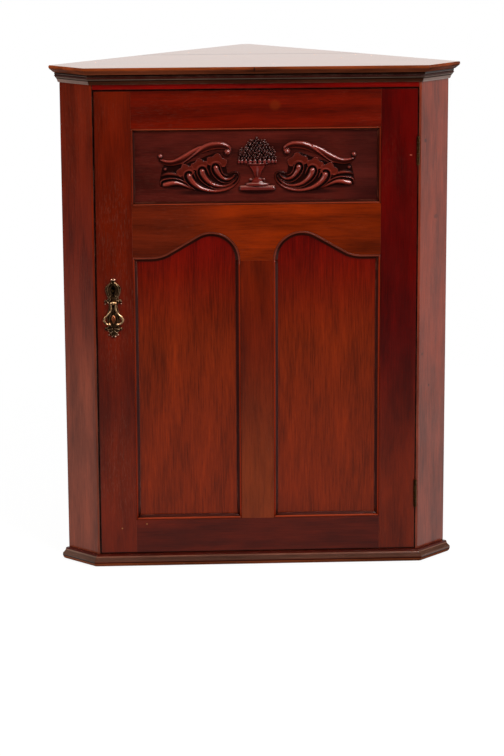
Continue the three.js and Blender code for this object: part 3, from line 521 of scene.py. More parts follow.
# The returns are paler towards the bottom: partly the wood's own tone, partly a painted reflection of the pale
# floor.
boards = [
    ("return_left", upright_grain, dict(
        tone=(106, 27, 6), cut=45, wear=0.9, worn=(170, 108, 88), contrast=0.22, clouds=0.8,
        flecks=0.3,
        tints=[[2, (0.55, 0.25), (122, 58, 38), 0.8], dark_past("X", door_low.x - door_gap, 1)]), 0.5),
    ("return_right", upright_grain, dict(
        tone=(124, 48, 28), cut=-45, wear=0.7, worn=(168, 110, 92), lines=1.2, flecks=0.4,
        tints=[[2, (0.42, 0.2), (117, 50, 32), 0.9], dark_past("X", door_high.x + door_gap, -1, reach=0.7)],
        marks=[((0.278, -0.161, 0.7135), (3.2, 9, 4.5), (62, 24, 16), 0.8),
               ((0.2992, -0.1398, 0.5846), (6, 9, 5), (74, 32, 22), 0.6),
               ((0.2756, -0.1634, 0.3559), (1.5, 4, 3), (50, 22, 14), 0.9),
               ((0.2889, -0.1501, 0.2995), (1.5, 4, 3), (50, 22, 14), 0.9)]), 0.5),
    ("front_top_rail", level, dict(
        tone=(116, 4, 0), tints=[dark_past("Z", door_high.z + door_gap, -1)]), 0.3),
    ("bottom_board", level, dict(tone=(84, 30, 16), wear=0.2), 0.5),
]
for node, along, look, arris in boards:
    add_board(node, wood_finish(f"{node} polish", along, **look), arris)

# %% Door frame
# The members meet flush, so their own arrises are eased by no more than a scraper would do.
rim = (0.15, 0.03)
# Painted shade: on the door's top edge below the rail, and on its other edges beside the gap.
door_top = dark_past("Z", door_high.z, 1, tint=(34, 7, 4))
door_bottom = dark_past("Z", door_low.z, -1, until=rim)
free_edge = dark_past("X", door_low.x, -1, until=rim)
hinged_edge = dark_past("X", door_high.x, 1, reach=0.7, until=rim)
# The stiles and the muntin are paler towards the bottom: partly the wood's own tone, partly a painted
# reflection of the pale floor.
members = [
    ("lock_stile", upright_grain, dict(
        tone=(92, 18, 1), contrast=0.2, flecks=0.35,
        tints=[[2, (0.42, 0.15), (98, 26, 4), 0.7], free_edge, door_top, door_bottom],
        marks=[((-0.2286, door_face, 0.0641), (1.6, 4, 1.6), (170, 110, 60), 0.9),
               ((-0.2684, door_face, 0.5816), (1.4, 4, 3.4), (30, 8, 4), 0.9)])),
    ("hinge_stile", upright_grain, dict(
        tone=(78, 2, 0), clouds=1.2, contrast=0.2,
        tints=[[2, (0.42, 0.1), (101, 27, 2), 0.9], hinged_edge, door_top, door_bottom],
        marks=[((0.2535, door_face, 0.691), (3.0, 4, 1.4), (190, 90, 70), 0.7)])),
    ("door_muntin", upright_grain, dict(
        tone=(97, 22, 1), contrast=0.18, tints=[[2, (0.42, 0.1), (112, 42, 10), 0.9]])),
    ("door_top_rail", level, dict(
        tone=(99, 14, 0), flame=0.6, contrast=0.2, clouds=0.5,
        tints=[[0, (-0.08, -0.2), (90, 12, 0), 0.8], door_top],
        marks=[((0.0307, door_face, 0.7753), (12, 4, 11), (126, 42, 6), 0.4)])),
    ("door_middle_rail", level, dict(
        tone=(120, 33, 0), flame=0.6, contrast=0.22,
        tints=[[0, (-0.03, -0.14), (84, 23, 6), 0.9], [0, (0.05, 0.17), (103, 27, 0), 0.9]])),
    ("door_bottom_rail", level, dict(
        tone=(84, 18, 2), tints=[door_bottom],
        marks=[((-0.1871, door_face, 0.0711), (1.6, 4, 1.6), (170, 110, 60), 0.9)])),
]
for node, along, look in members:
    add_board(node, wood_finish(f"{node} polish", along, **look), 0.22)

# %% Panels
# The lower panels are redder at the top and paler below: partly the wood's own tone, partly a painted
# reflection of the pale floor.
panel_tints = [[2, (0.36, 0.56), (99, 1, 0), 0.9]]
for side in ("left", "right"):
    polish = wood_finish(f"lower panel {side} polish", upright_grain, (112, 31, 2), contrast=0.24, cut=20,
                         clouds=0.7, lines=1.1, flame=0.1, pores=0.6, flecks=0.0, tints=panel_tints)
    add_board(f"lower_panel_{side}", polish, 0.3)

# Painted shadows below the forms of the carving: across and up from its middle, half width and half height.
shadows_under_carving = [(0, -44, 36, 5), (-86, -43, 60, 6), (86, -43, 60, 6), (-128, -34, 36, 6), (128, -34, 36, 6),
                 (-120, 0, 50, 6), (120, 0, 50, 6)]
low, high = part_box("carved_panel")
carving_aside = 1.7 * mm
panel_face, panel_level = low.y, (low.z + high.z) / 2
panel_middle = Vector((carving_aside, panel_face, panel_level))
painted_shadows = [(beside(panel_middle, across, up), (wide, 9, tall), (24, 5, 4), 0.75)
         for across, up, wide, tall in shadows_under_carving]
ground = wood_finish("carved panel polish", level, (74, 20, 13), contrast=0.28, clouds=1.2, lines=0.6,
                     flame=0.2, flecks=0.15, tints=[[0, (0.13, 0.17), (62, 17, 12), 0.9]], marks=painted_shadows)
add_board("carved_panel", ground, 0.3)

# %% Top boards
# The top has faded to an orange brown. Its moulded edge is orange above and darker below. The moulding
# runs round three sides of a broad flat board, so its arrises are rounded by bevels of three segments; a
# subdivision surface would pull the broad face out of shape.
low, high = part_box("top_board_front")
faded = dict(tone=(178, 105, 54), contrast=0.1, flame=0.25, clouds=0.35, lines=1.1, pores=0.2,
             worn=(196, 140, 104), coat=1.0, sheen=0.0)
top_arris, broad_face = 0.7, 0.85
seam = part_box("top_board_rear")[0].y


def seam_tint(way):
    return [1, (seam + way * 2.5 * mm, seam + way * 1 * mm), (40, 18, 12), 1.0]


rear_polish = wood_finish("rear top board polish", level, tints=[seam_tint(1)], **faded)
add_board("top_board_rear", rear_polish, top_arris)
top_polish = wood_finish("front top board polish", level, tints=[seam_tint(-1)], **faded)
edge_polish = wood_finish(
    "top board edge polish", level, (132, 56, 20), contrast=0.3, flame=0.6, coat=0.1,
    tints=[[2, (high.z - 3.6 * mm, high.z - 5.4 * mm), (92, 45, 27), 0.9]],
    marks=[((-0.0038, door_face - 20 * mm, high.z - 4 * mm), (1.8, 16, 7), (30, 12, 8), 0.9)])
shape = merged_copy("top_board_front")
ease(shape, top_arris, segments=3, narrowest=0.3, gentlest=9, hollows=True)
top_board = add_piece("top_board_front_board", shape, top_polish, stands_for=["top_board_front"], sharp=70,
                      flat=True)
top_board.data.materials.append(edge_polish)
for face in top_board.data.polygons:
    face.material_index = int(face.normal.z < broad_face)
print("top board:", sum(face.material_index for face in top_board.data.polygons), "faces on its edges")

# %% [markdown]
# ## Mouldings
# A moulding has soft hollows and rounds between crisp fillets. Its solid follows the same line with flat
# facets. Joining the triangles into quads and giving the crisp edges a narrow bevel lets a subdivision
# surface round the gentle turns and hold the crisp ones, so the whole length gets a true section from one
# short list of facets. A straight run is first dissolved into one long face for each facet; a curved one
# keeps its own stations.

# %% Helper for a full moulding
def add_moulding(node, material, crisp=42, hold=0.25, levels=2, curved=False):
    shape = merged_copy(node, flatten=not curved)
    bmesh.ops.join_triangles(shape, faces=shape.faces, angle_face_threshold=math.radians(12),
                             angle_shape_threshold=math.radians(180))
    bevel(shape, [edge for edge in shape.edges if turn_of(edge) > crisp], hold, clamp=True)
    piece = add_piece(f"{node}_run", shape, material, stands_for=[node], sharp=180)
    rounder = piece.modifiers.new("round", "SUBSURF")
    rounder.levels = rounder.render_levels = levels
    return piece


def bands_of(node, rows):
    """Tints for the members of a moulding. Rows are (from, to, colour, strength) in shares of its height."""
    low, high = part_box(node)
    tall, soft = high.z - low.z, 0.35 * mm
    return [[2, [low.z + share * tall + way * soft for share in ends for way in (-1, 1)], tint, strength]
            for *ends, tint, strength in rows]


# %% Cornice and base
slant = {"left": (-1, 1, 0), "right": (1, 1, 0), "front": (1, 0, 0)}
# Cornice bands, from the top: a black painted shadow under the top board, then dark bands that are partly the
# moulding's tone and partly painted shade, with a pale painted highlight along the bead between them.
cornice_bands = bands_of("cornice_front", [
    (0.84, 1.1, (10, 2, 1), 0.95), (0.56, 0.82, (52, 12, 7), 0.9), (0.45, 0.54, (96, 80, 68), 0.8),
    (0.34, 0.44, (24, 10, 7), 0.9)])
# Base bands, from the top: a red line, a pale painted highlight on the round, the cove, a dark line of painted
# shade below it, the orange-brown lower face and painted shade along the bottom edge.
base_bands = bands_of("base_moulding_front", [
    (0.9, 1.1, (70, 12, 6), 0.9), (0.8, 0.88, (130, 92, 74), 0.7), (0.5, 0.78, (86, 58, 46), 0.85),
    (0.38, 0.47, (34, 7, 5), 0.95), (0.06, 0.36, (124, 62, 32), 0.8), (-0.1, 0.04, (50, 20, 12), 0.8)])
dark = dict(lines=0.5, wear=0.5, worn=(120, 96, 80), dirt_and_shade=0.8, coat=0.25, tints=cornice_bands)
warm = dict(lines=0.5, wear=0.5, worn=(150, 104, 80), dirt_and_shade=0.7, coat=0.35, tints=base_bands)
# On the slanted sides the cornice, and the base on the left, get pale grey tones: a painted reflection of the
# bright room beside them over the dark wood.
dark_tone = {"left": (134, 108, 98), "right": (138, 118, 110), "front": (55, 25, 12)}
warm_tone = {"left": (84, 72, 66), "right": (76, 34, 20), "front": (108, 42, 22)}
for side, along in slant.items():
    for run, tone, look in (("cornice", dark_tone, dark), ("base_moulding", warm_tone, warm)):
        polish = wood_finish(f"{run.replace('_', ' ')} {side} polish", along, tone[side], **look)
        add_moulding(f"{run}_{side}", polish)

# %% Panel mouldings
# The crest is rubbed and light; the hollow behind it is painted nearly black as shade.
painted_hollow_shade = [[1, (door_face + 1.0 * mm, door_face + 2.4 * mm), (34, 8, 5), 0.9]]
bead = dict(contrast=0.16, lines=0.4, wear=0.35, worn=(150, 80, 60), dirt_and_shade=0.5, tints=painted_hollow_shade, coat=0.15)
bead_polish = {"level": wood_finish("level bead polish", level, (146, 54, 28), **bead),
               "arch": wood_finish("arch bead polish", level, (112, 46, 30), **bead),
               "upright": wood_finish("upright bead polish", upright_grain, (124, 34, 10), **bead)}
lies = {"top": "level", "bottom": "level", "base": "level", "arch": "arch"}
for node in frame["nodes"]:
    if node.startswith(("carved_moulding", "lower_moulding")):
        lie = lies.get(node.split("_")[-1], "upright")
        add_moulding(node, bead_polish[lie], crisp=50, hold=0.15, levels=1, curved=lie == "arch")

# %% [markdown]
# ## Sweeps and turnings
# The carving and the handle are bars and bands whose section changes along a line. One helper carries a
# closed outline through a row of places: it extrudes the outline's edges and moves the new ones on by the
# step from one place to the next. A second helper draws the smooth line through a few measured points.
# Turned parts are spun in a small bmesh of their own and then absorbed by the shape that needs them.

# %% Helpers for sweeps
def of_kind(items, kind):
    return [item for item in items if isinstance(item, kind)]


def smooth_line(rows, steps):
    """A smooth row of points through the given ones, whatever number of values each of them has."""
    rows = [Vector(row) for row in rows]
    rows = [2 * rows[0] - rows[1], *rows, 2 * rows[-1] - rows[-2]]
    line = []
    for a, b, c, d in zip(rows, rows[1:], rows[2:], rows[3:]):
        for step in range(steps):
            t = step / steps
            line.append(0.5 * (2 * b + (c - a) * t + (2 * a - 5 * b + 4 * c - d) * t ** 2
                               + (3 * b - a - 3 * c + d) * t ** 3))
    return line + [rows[-2]]


def sweep(shape, outline, places):
    """Carries a closed outline of (x, y) points through a row of matrices, and closes both ends."""
    verts = [shape.verts.new(places[0] @ Vector((x, y, 0))) for x, y in outline]
    edges = start = [shape.edges.new(pair) for pair in zip(verts, verts[1:] + verts[:1])]
    for here, there in zip(places, places[1:]):
        grown = bmesh.ops.extrude_edge_only(shape, edges=edges)["geom"]
        verts = set(of_kind(grown, bmesh.types.BMVert))
        edges = [edge for edge in of_kind(grown, bmesh.types.BMEdge) if verts.issuperset(edge.verts)]
        bmesh.ops.transform(shape, matrix=there @ here.inverted(), verts=list(verts))
    bmesh.ops.edgeloop_fill(shape, edges=start)
    bmesh.ops.edgeloop_fill(shape, edges=edges)


def push_out(shape, faces, step):
    """Extrudes some faces, moves the new ones by a step and returns them."""
    grown = bmesh.ops.extrude_face_region(shape, geom=faces)["geom"]
    bmesh.ops.translate(shape, vec=step, verts=of_kind(grown, bmesh.types.BMVert))
    return of_kind(grown, bmesh.types.BMFace)


def circle(sides):
    return [(math.cos(2 * math.pi * n / sides), math.sin(2 * math.pi * n / sides)) for n in range(sides)]


def basis(across, outward, along, origin):
    """The matrix that takes X, Y and Z to three vectors and the origin to a point."""
    return Matrix.Translation(origin) @ Matrix((across, outward, along)).transposed().to_4x4()


def front_bar(shape, origin, rows, steps=5, sides=14, out=0.0, height=1.0, ends=False):
    """A bar drawn in a front view. Rows are (across, up, radius) from the origin, and out is how far in
    front of it the bar lies, all in millimetres."""
    line = smooth_line(rows, steps)
    forward = Vector((0, -1, 0))
    places = []
    for n, (across, up, radius) in enumerate(line):
        ahead = line[min(n + 1, len(line) - 1)] - line[max(n - 1, 0)]
        along = Vector((ahead[0], 0, ahead[1])).normalized()
        places.append(basis(along.cross(forward) * radius * mm, forward * radius * height * mm, along,
                            beside(origin, across, up, out)))
    sweep(shape, circle(sides), places)
    for across, up, radius in (rows[0], rows[-1]) if ends else ():
        ball(shape, beside(origin, across, up, out), (radius, radius * height, radius), detail=8)


def on_side(rows, side):
    """The rows of a bar for the right-hand side (1), mirrored for the left-hand one (-1), or in between."""
    return [(side * across, up, radius) for across, up, radius in rows]


def ball(shape, centre, radii, detail=12):
    """A ball or an egg at a place in metres, with its three radii in millimetres."""
    size = Matrix.Diagonal((*(r * mm for r in radii), 1))
    bmesh.ops.create_uvsphere(shape, u_segments=2 * detail, v_segments=detail, radius=1,
                              matrix=Matrix.Translation(centre) @ size)


def absorb(shape, part, matrix):
    """Moves a small bmesh to its place, adds it to the shape and frees it."""
    bmesh.ops.transform(part, matrix=matrix, verts=part.verts)
    spare = bpy.data.meshes.new("spare")
    part.to_mesh(spare)
    part.free()
    shape.from_mesh(spare)
    bpy.data.meshes.remove(spare)


def pointed(axis, centre):
    """The matrix that stands a shape drawn along Z on an axis, at its centre."""
    turn = Vector((0, 0, 1)).rotation_difference(Vector(axis)).to_matrix().to_4x4()
    return Matrix.Translation(centre) @ turn


def turned(shape, section, centre, axis=(0, -1, 0), sides=24, stretch=(1, 1, 1)):
    """Spins a section of (radius, height) points about an axis through its centre, all in millimetres."""
    part = bmesh.new()
    verts = [part.verts.new((radius * mm, 0, height * mm)) for radius, height in section]
    edges = [part.edges.new(pair) for pair in zip(verts, verts[1:])]
    bmesh.ops.spin(part, geom=verts + edges, cent=(0, 0, 0), axis=(0, 0, 1), steps=sides,
                   angle=2 * math.pi, use_merge=True)
    bmesh.ops.remove_doubles(part, verts=part.verts, dist=0.1 * same_place)
    bmesh.ops.recalc_face_normals(part, faces=part.faces)
    absorb(shape, part, pointed(axis, centre) @ Matrix.Diagonal((*stretch, 1)))


def one_skin(shape, voxel, smoothing=2):
    """Fuses overlapping bodies into one closed skin with soft inner corners, as if cut from one block."""
    bmesh.ops.recalc_face_normals(shape, faces=shape.faces)
    mesh = bpy.data.meshes.new("rough")
    shape.to_mesh(mesh)
    rough = new_object("rough", mesh)
    skin = rough.modifiers.new("skin", "REMESH")
    skin.mode = "VOXEL"
    skin.voxel_size = voxel * mm
    fused = bpy.data.meshes.new_from_object(rough.evaluated_get(bpy.context.evaluated_depsgraph_get()))
    shape.clear()
    shape.from_mesh(fused)
    bpy.data.objects.remove(rough)
    for step in range(smoothing):
        bmesh.ops.smooth_vert(shape, verts=shape.verts, factor=0.5, use_axis_x=True, use_axis_y=True,
                              use_axis_z=True)
    bmesh.ops.recalc_face_normals(shape, faces=shape.faces)


print("sweep helpers ready")

# %% [markdown]
# ## Carving
# The carver cut an S-shaped scroll of two overlapping bands with a roll at either end. Below it three fat
# flutes curl out of a fan of scalloped petals, each with a thin ridge round its head, and a leaf lies at
# the outer end. The other side of the footed basket has the mirror image. Each form is a body of its own
# here: swept bands, lobed plates, tapering bars. A voxel remesh then fuses them into one skin, which also
# softens the inner corners as a gouge does. All places are millimetres from the middle of the panel,
# drawn for the right-hand side.

# %% Measures of the scroll
scroll_outward = 1.7

# Each band: points along its top edge, points along its bottom edge, relief
outer_band = (
    [(155.5, 12.5), (146.3, 11.3), (135.8, 11.6), (125.3, 16.4), (114.7, 22.6), (104.1, 28.8), (93.6, 33.4),
     (84, 35.5)],
    [(160.4, 10.5), (152.6, 3.4), (142.2, 1.1), (131.7, 1.7), (119.5, 4.6), (106.5, 12.4), (96.5, 21),
     (88, 31)],
    [4.2, 5.4, 5.8, 5.8, 5.6, 5.2, 4.6, 4.0])
inner_band = (
    [(123.5, 4.6), (113, 12), (104, 19.6), (95, 28.2), (87.5, 34.8), (80, 38.3), (72.6, 40.1), (62.1, 40.6),
     (53.7, 39.4), (46.3, 36), (41.3, 31.3), (39.9, 25.5)],
    [(122, 2.2), (110.6, 8.8), (100.1, 15.8), (89.5, 20.6), (79.5, 24.2), (72.5, 26), (66, 27), (59, 27.6),
     (54, 27.6), (50.4, 27), (48, 25.4), (46.6, 22.6)],
    [3.0, 4.4, 5.4, 6.2, 6.6, 6.6, 6.6, 6.6, 6.6, 6.4, 5.8, 5.0])
# Section of a band: share of its width from the top edge, share of its relief
band_section = [(0, -0.2), (0, 0.42), (0.04, 0.7), (0.12, 0.92), (0.22, 1.04), (0.32, 1.06), (0.44, 0.97),
                (0.56, 0.82), (0.66, 0.66), (0.74, 0.5), (0.82, 0.44), (0.9, 0.5), (0.96, 0.42), (1, 0.2),
                (1, -0.2)]
scroll_rolls = [(156.7, 17, 4.7, 6.0), (47, 22.6, 6.3, 7.6)]  # across, up, radius, relief

# %% Measures of the fan
# Petals: across, up, angles from and to, reach at both angles and between them, lobes
petals = [(66.2, -3, 25, 172, (18, 24.5, 18.5), 3), (88.8, -8.6, 12, 138, (18.5, 23, 13), 3),
          (109.9, -16, -2, 134, (20, 22.5, 11), 3)]
petal_inside, petal_relief, petal_border, petal_sink, petal_steps, lobe_depth = 9.6, 3.8, 2.4, 0.7, 48, 0.08
flutes = [
    [(66.2, -3, 5.0), (64.8, -8, 4.7), (61, -14, 4.1), (56, -19, 3.5), (50, -21.8, 3.0), (43.6, -21.6, 2.5),
     (38.2, -18.6, 2.0), (35, -14.6, 1.3)],
    [(88.8, -8.6, 5.1), (87, -14.5, 4.9), (83.2, -20.6, 4.4), (77, -26.4, 3.9), (68.9, -31, 3.4),
     (56.3, -33.4, 2.9), (44.6, -31, 2.3), (35.8, -24.8, 1.8), (31.6, -18.6, 1.2)],
    [(109.9, -16, 5.2), (107.4, -22, 5.0), (101.5, -29.2, 4.6), (90.6, -36.2, 4.0), (77.6, -40.2, 3.4),
     (64.8, -41.4, 3.0), (52.1, -39.6, 2.7), (41.6, -35.7, 2.4), (33.2, -29.4, 2.1), (28.6, -22.4, 1.9),
     (28, -15.8, 1.6), (31.4, -11.4, 1.4), (37.5, -10.8, 1.2), (43, -13.6, 0.9)],
    [(150.2, -30, 4.4), (145, -29, 4.9), (137, -27.4, 4.6), (128, -27.6, 3.8), (118.5, -31, 2.8),
     (108, -36.2, 1.9), (98, -39.6, 1.0)],
]
ridges = [
    [(47, -16.4, 0.9), (52, -14.4, 1.1), (56.2, -10, 1.2), (58, -4, 1.3), (60.4, 2.4, 1.3), (66, 5.6, 1.3),
     (72, 3.4, 1.3), (74.4, -3, 1.3), (73, -9.6, 1.2), (68.8, -16.8, 1.2), (62, -23.4, 1.1), (54, -27.4, 1.1),
     (45, -27.2, 1.0), (37.4, -22.8, 0.9)],
    [(76.6, -14.6, 1.1), (79.4, -8, 1.3), (82.4, -2.4, 1.3), (88.6, 0.4, 1.3), (94.6, -2.4, 1.3),
     (97.2, -8.8, 1.3), (95.6, -15.6, 1.2), (91, -23, 1.2), (83.6, -29.6, 1.1), (73, -35.2, 1.1),
     (61, -37.6, 1.0), (48, -35.8, 0.9), (38.6, -30.4, 0.9)],
    [(98.6, -21, 1.1), (101.2, -14.4, 1.3), (104.4, -9, 1.3), (110.4, -6.8, 1.3), (116.4, -9.4, 1.3),
     (119, -15.6, 1.3), (117.4, -22.6, 1.2), (111.6, -30.4, 1.1), (103, -36.6, 1.0)],
    [(157, -31, 1.1), (156.2, -24.6, 1.3), (150, -20.8, 1.4), (136.4, -19.4, 1.4), (124, -22, 1.3),
     (112.4, -29, 1.1)],
]
low_leaf = [(155, -15.6, 1.6), (148, -12.6, 2.8), (139, -12.2, 3.2), (130, -14, 2.9), (121, -19, 1.8)]
backing_back, backing_depth = 1.5, 2.0
backing = [(157.5, -33), (158.5, -24), (156, -12), (154, -2), (149, 4), (130, 4), (118, 2), (108, 8),
           (96, 10), (84, 16), (67, 22), (56, 18), (50, 4), (47, -12), (42, -10), (34, -8), (26.5, -12),
           (27.4, -24), (38, -37), (53, -43.4), (77, -43.6), (98, -41), (125, -34)]
print(f"fan: {len(petals)} petals, {len(flutes)} flutes, {len(ridges)} ridges")

# %% Scrolls with their fans
# The sides of each form and what faces down are painted dark as shade, the low ground is painted nearly
# black as shade, the crest keeps the red of the wood, and what faces up is painted paler as a highlight.
def depth_tint(top, bottom, tint, share):
    return [1, (panel_face - top * mm, panel_face - bottom * mm), tint, share]


carved = dict(contrast=0.16, clouds=0.8, lines=0.4, flame=0.1, flecks=0.0, wear=0.1, worn=(150, 70, 50),
              dirt_and_shade=0.95, reach=5, grime_and_shade=(10, 2, 2), coat=1.0, film_roughness=0.15, gloss=0.28,
              film_ends=(panel_face - 4.8 * mm, panel_face - 2.4 * mm))
# Painted shade on the sides of each form and on what faces down.
sides, under = [4, (-0.95, -0.6), (44, 9, 6), 0.85], [5, (-0.1, -0.5), (44, 9, 6), 0.85]
# The scroll: a painted highlight on what faces up, and painted shade on its low ground.
scroll_polish = wood_finish("scroll polish", level, (116, 32, 17), tints=[
    sides, [5, (0.05, 0.4), (168, 70, 56), 0.65], under, depth_tint(5.0, 1.0, (12, 3, 2), 0.94)], **carved)
flowers_from = panel_middle.z + 11 * mm
# The basket: darker flowers, a strong painted highlight on what faces up, and painted shade below.
basket_polish = wood_finish("basket polish", level, (112, 28, 18), tints=[
    [2, (flowers_from, flowers_from + 2 * mm), (74, 24, 18), 0.85], sides,
    [5, (0.45, 0.85), (205, 128, 112), 0.7], under, depth_tint(3.6, 1.2, (12, 3, 2), 0.94)], **carved)


def add_petal(shape, spot, side, across, up, start, stop, reaches, lobes):
    """A dished petal round the head of a flute, with a scalloped outer edge."""
    part = bmesh.new()
    first, middle, final = reaches
    angles = [start + (stop - start) * step / petal_steps for step in range(petal_steps + 1)]
    outline = []
    for angle in angles:
        share = (angle - start) / (stop - start)
        reach = (first * (1 - share) ** 2 + (4 * middle - first - final) * share * (1 - share)
                 + final * share ** 2)
        outline.append((angle, reach * (1 - lobe_depth - lobe_depth * math.cos(2 * math.pi * lobes * share))))
    outline += [(angle, petal_inside) for angle in reversed(angles)]
    corners = [(math.cos(math.radians(angle)) * reach, math.sin(math.radians(angle)) * reach, 0)
               for angle, reach in outline]
    face = part.faces.new([part.verts.new(corner) for corner in corners])
    top = push_out(part, [face], (0, 0, petal_relief))
    bmesh.ops.inset_region(part, faces=top, thickness=petal_border, depth=-petal_sink, use_even_offset=True)
    absorb(shape, part, basis(Vector((side * mm, 0, 0)), Vector((0, 0, mm)), Vector((0, -mm, 0)),
                              spot(across, up)))


def add_scroll(name, side):
    """One scroll with its fan and its backing plate, on the right-hand side (1) or the left-hand one (-1)."""
    shape = bmesh.new()

    def spot(across, up, out=0.0):
        return beside(panel_middle, side * (across + scroll_outward), up, out)

    for tops, bottoms, reliefs in (outer_band, inner_band):
        places = []
        lines = [smooth_line(rows, 5) for rows in (tops, bottoms, [(relief, 0) for relief in reliefs])]
        for top, bottom, (relief, _) in zip(*lines):
            width = spot(*bottom) - spot(*top)
            along = width.cross(Vector((0, 1, 0))).normalized()
            places.append(basis(width, Vector((0, -relief * mm, 0)), along, spot(*top)))
        sweep(shape, band_section, places)
    for across, up, radius, relief in scroll_rolls:
        ball(shape, spot(across, up), (radius, relief, radius))
    for petal in petals:
        add_petal(shape, spot, side, *petal)
    for bars, out, height in ((flutes, 0.6, 1.1), (ridges, 0.4, 2.5), ([low_leaf], 0.4, 0.95)):
        for rows in bars:
            front_bar(shape, spot(0, 0), on_side(rows, side), out=out, height=height, ends=True)
    ball(shape, spot(149, -4.4, 0.6), (3.2, 3.2, 3.2))
    plate = bmesh.new()
    outline = [plate.verts.new(spot(across, up, -backing_back)) for across, up in backing]
    push_out(plate, [plate.faces.new(outline)], (0, -backing_depth * mm, 0))
    absorb(shape, plate, Matrix())
    one_skin(shape, voxel=0.54)
    return add_piece(f"{name}_relief", shape, scroll_polish, stands_for=[name], sharp=180)


for name, side in (("carved_scroll_left", -1), ("carved_scroll_right", 1)):
    add_scroll(name, side)

# %% [markdown]
# ## Basket of flowers
# The flowers are a dome of small drilled buttons above a rim of beads. The cup below is narrow and
# fluted, and stands on a collar with two small knobs, a step and a cushion-shaped foot. The buttons sit
# in staggered rows with a little luck in their places, from a fixed seed, because even rows would look
# turned on a lathe and not cut by hand.

# %% Measures of the basket
# The dome of flowers: its half width at each height (up, across), and the section of the ground behind them
dome_reach = [(10, 31), (15.5, 31.7), (22, 31), (28, 27), (33, 22.5), (38, 17.5), (42.5, 11), (46.4, 3)]
dome_ground = [(0.01, 45), (5, 43), (11, 39.5), (16, 35), (21, 30), (26.6, 24), (29, 16), (27, 10), (20, 6),
               (0.01, 5)]
cup_section = [(0.5, 4), (20, 4), (17.6, 2), (14.6, 0.5), (12, -3), (9.9, -6), (7.2, -10), (5.4, -13),
               (4.5, -16), (4.4, -18.4), (6.5, -20.4), (0.5, -20.4)]
collar_section = [(0.5, -19.6), (7.4, -19.8), (10.6, -21.4), (12, -23.4), (11.6, -25), (13.4, -26.6),
                  (14.4, -28), (19, -28.8), (20.6, -30), (20.6, -32.4), (0.5, -32.4)]
rim_rows = [(-28, 7.4, 3.2), (-14, 7, 4), (0, 6.9, 4.2), (14, 7, 4), (28, 7.4, 3.2)]
foot_rows = [(-25.6, -37.4, 5.3), (-12, -37.5, 5.5), (0, -37.5, 5.6), (12, -37.5, 5.5), (25.6, -37.4, 5.3)]
button_section = [(0, 0.4), (0.5, 0.6), (0.85, 2.2), (1.3, 2.8), (1.8, 2.2), (2.0, 1.0), (2.0, -2.5),
                  (0, -2.5)]
button_pitch, lowest_row, button_luck = 4.9, 13.4, 0.8
bead_leans, rib_leans, rib_out = (6.6, 19.8, 33, 46.6, 61), (-58, 0, 58), 3.24
rib_rows = [(14.5, 1.5, 1.9), (11.2, -3, 1.7), (6.6, -10.5, 1.2), (4.6, -18, 0.9)]
print(f"basket: {len(dome_reach)} heights of its dome")


# %% Basket
def dome_half(up):
    for (below, narrow), (above, wide) in zip(dome_reach, dome_reach[1:]):
        if below <= up <= above:
            return narrow + (wide - narrow) * (up - below) / (above - below)
    return 0


shape = bmesh.new()
for section, out, flatness in ((cup_section, 1.5, 0.28), (collar_section, 0, 0.34), (dome_ground, 0, 0.06)):
    turned(shape, section, beside(panel_middle, 0, 0, out), axis=(0, 0, 1), sides=48,
           stretch=(1, flatness, 1))
front_bar(shape, panel_middle, foot_rows, out=0.4, height=1.15, ends=True)
front_bar(shape, panel_middle, rim_rows, height=0.7, ends=True)
luck = random.Random("flowers")
buttons = 0
for row in range(9):
    up = lowest_row + row * button_pitch * 0.82
    for place in range(-7, 8):
        across = (place + 0.5 * (row % 2)) * button_pitch
        share = abs(across) / max(dome_half(up), 0.1)
        if share < 1:
            size = luck.uniform(0.82, 1.12)
            aside, ahead, above = (luck.uniform(-button_luck, button_luck), luck.uniform(0, button_luck),
                                   luck.uniform(-button_luck, button_luck))
            out = max(0.8, 3.1 * math.sqrt(1 - share ** 2) * min(1, (52 - up) / 20))
            turned(shape, [(radius * size, height) for radius, height in button_section],
                   beside(panel_middle, across + aside, up + above, out + ahead), sides=12)
            buttons += 1
for lean in (math.radians(side * angle) for side in (-1, 1) for angle in bead_leans):
    ball(shape, beside(panel_middle, 34.5 * math.sin(lean), 7, 3.4 * math.cos(lean)),
         (1.5 + 2.2 * math.cos(lean), 2.9, 4.5))
for lean in (math.radians(angle) for angle in rib_leans):
    front_bar(shape, panel_middle, on_side(rib_rows, math.sin(lean)), out=rib_out * math.cos(lean), height=1.3)
for side in (-1, 1):
    ball(shape, beside(panel_middle, side * 10.8, -22.8, 2.8), (2.5, 2.8, 2.5))
one_skin(shape, voxel=0.43, smoothing=1)
add_piece("carved_basket_relief", shape, basket_polish, stands_for=["carved_basket"], sharp=180)
print(f"basket: {buttons} flower buttons")

# %% [markdown]
# ## Brass
# The plate and the handle are cast brass. The plate has toned nearly black, with light only along its
# rims; the handle is rubbed bright by hands. The metal is one shader; what changes over the surface is
# the tone, which follows the same group of age and painted shade as the wood.

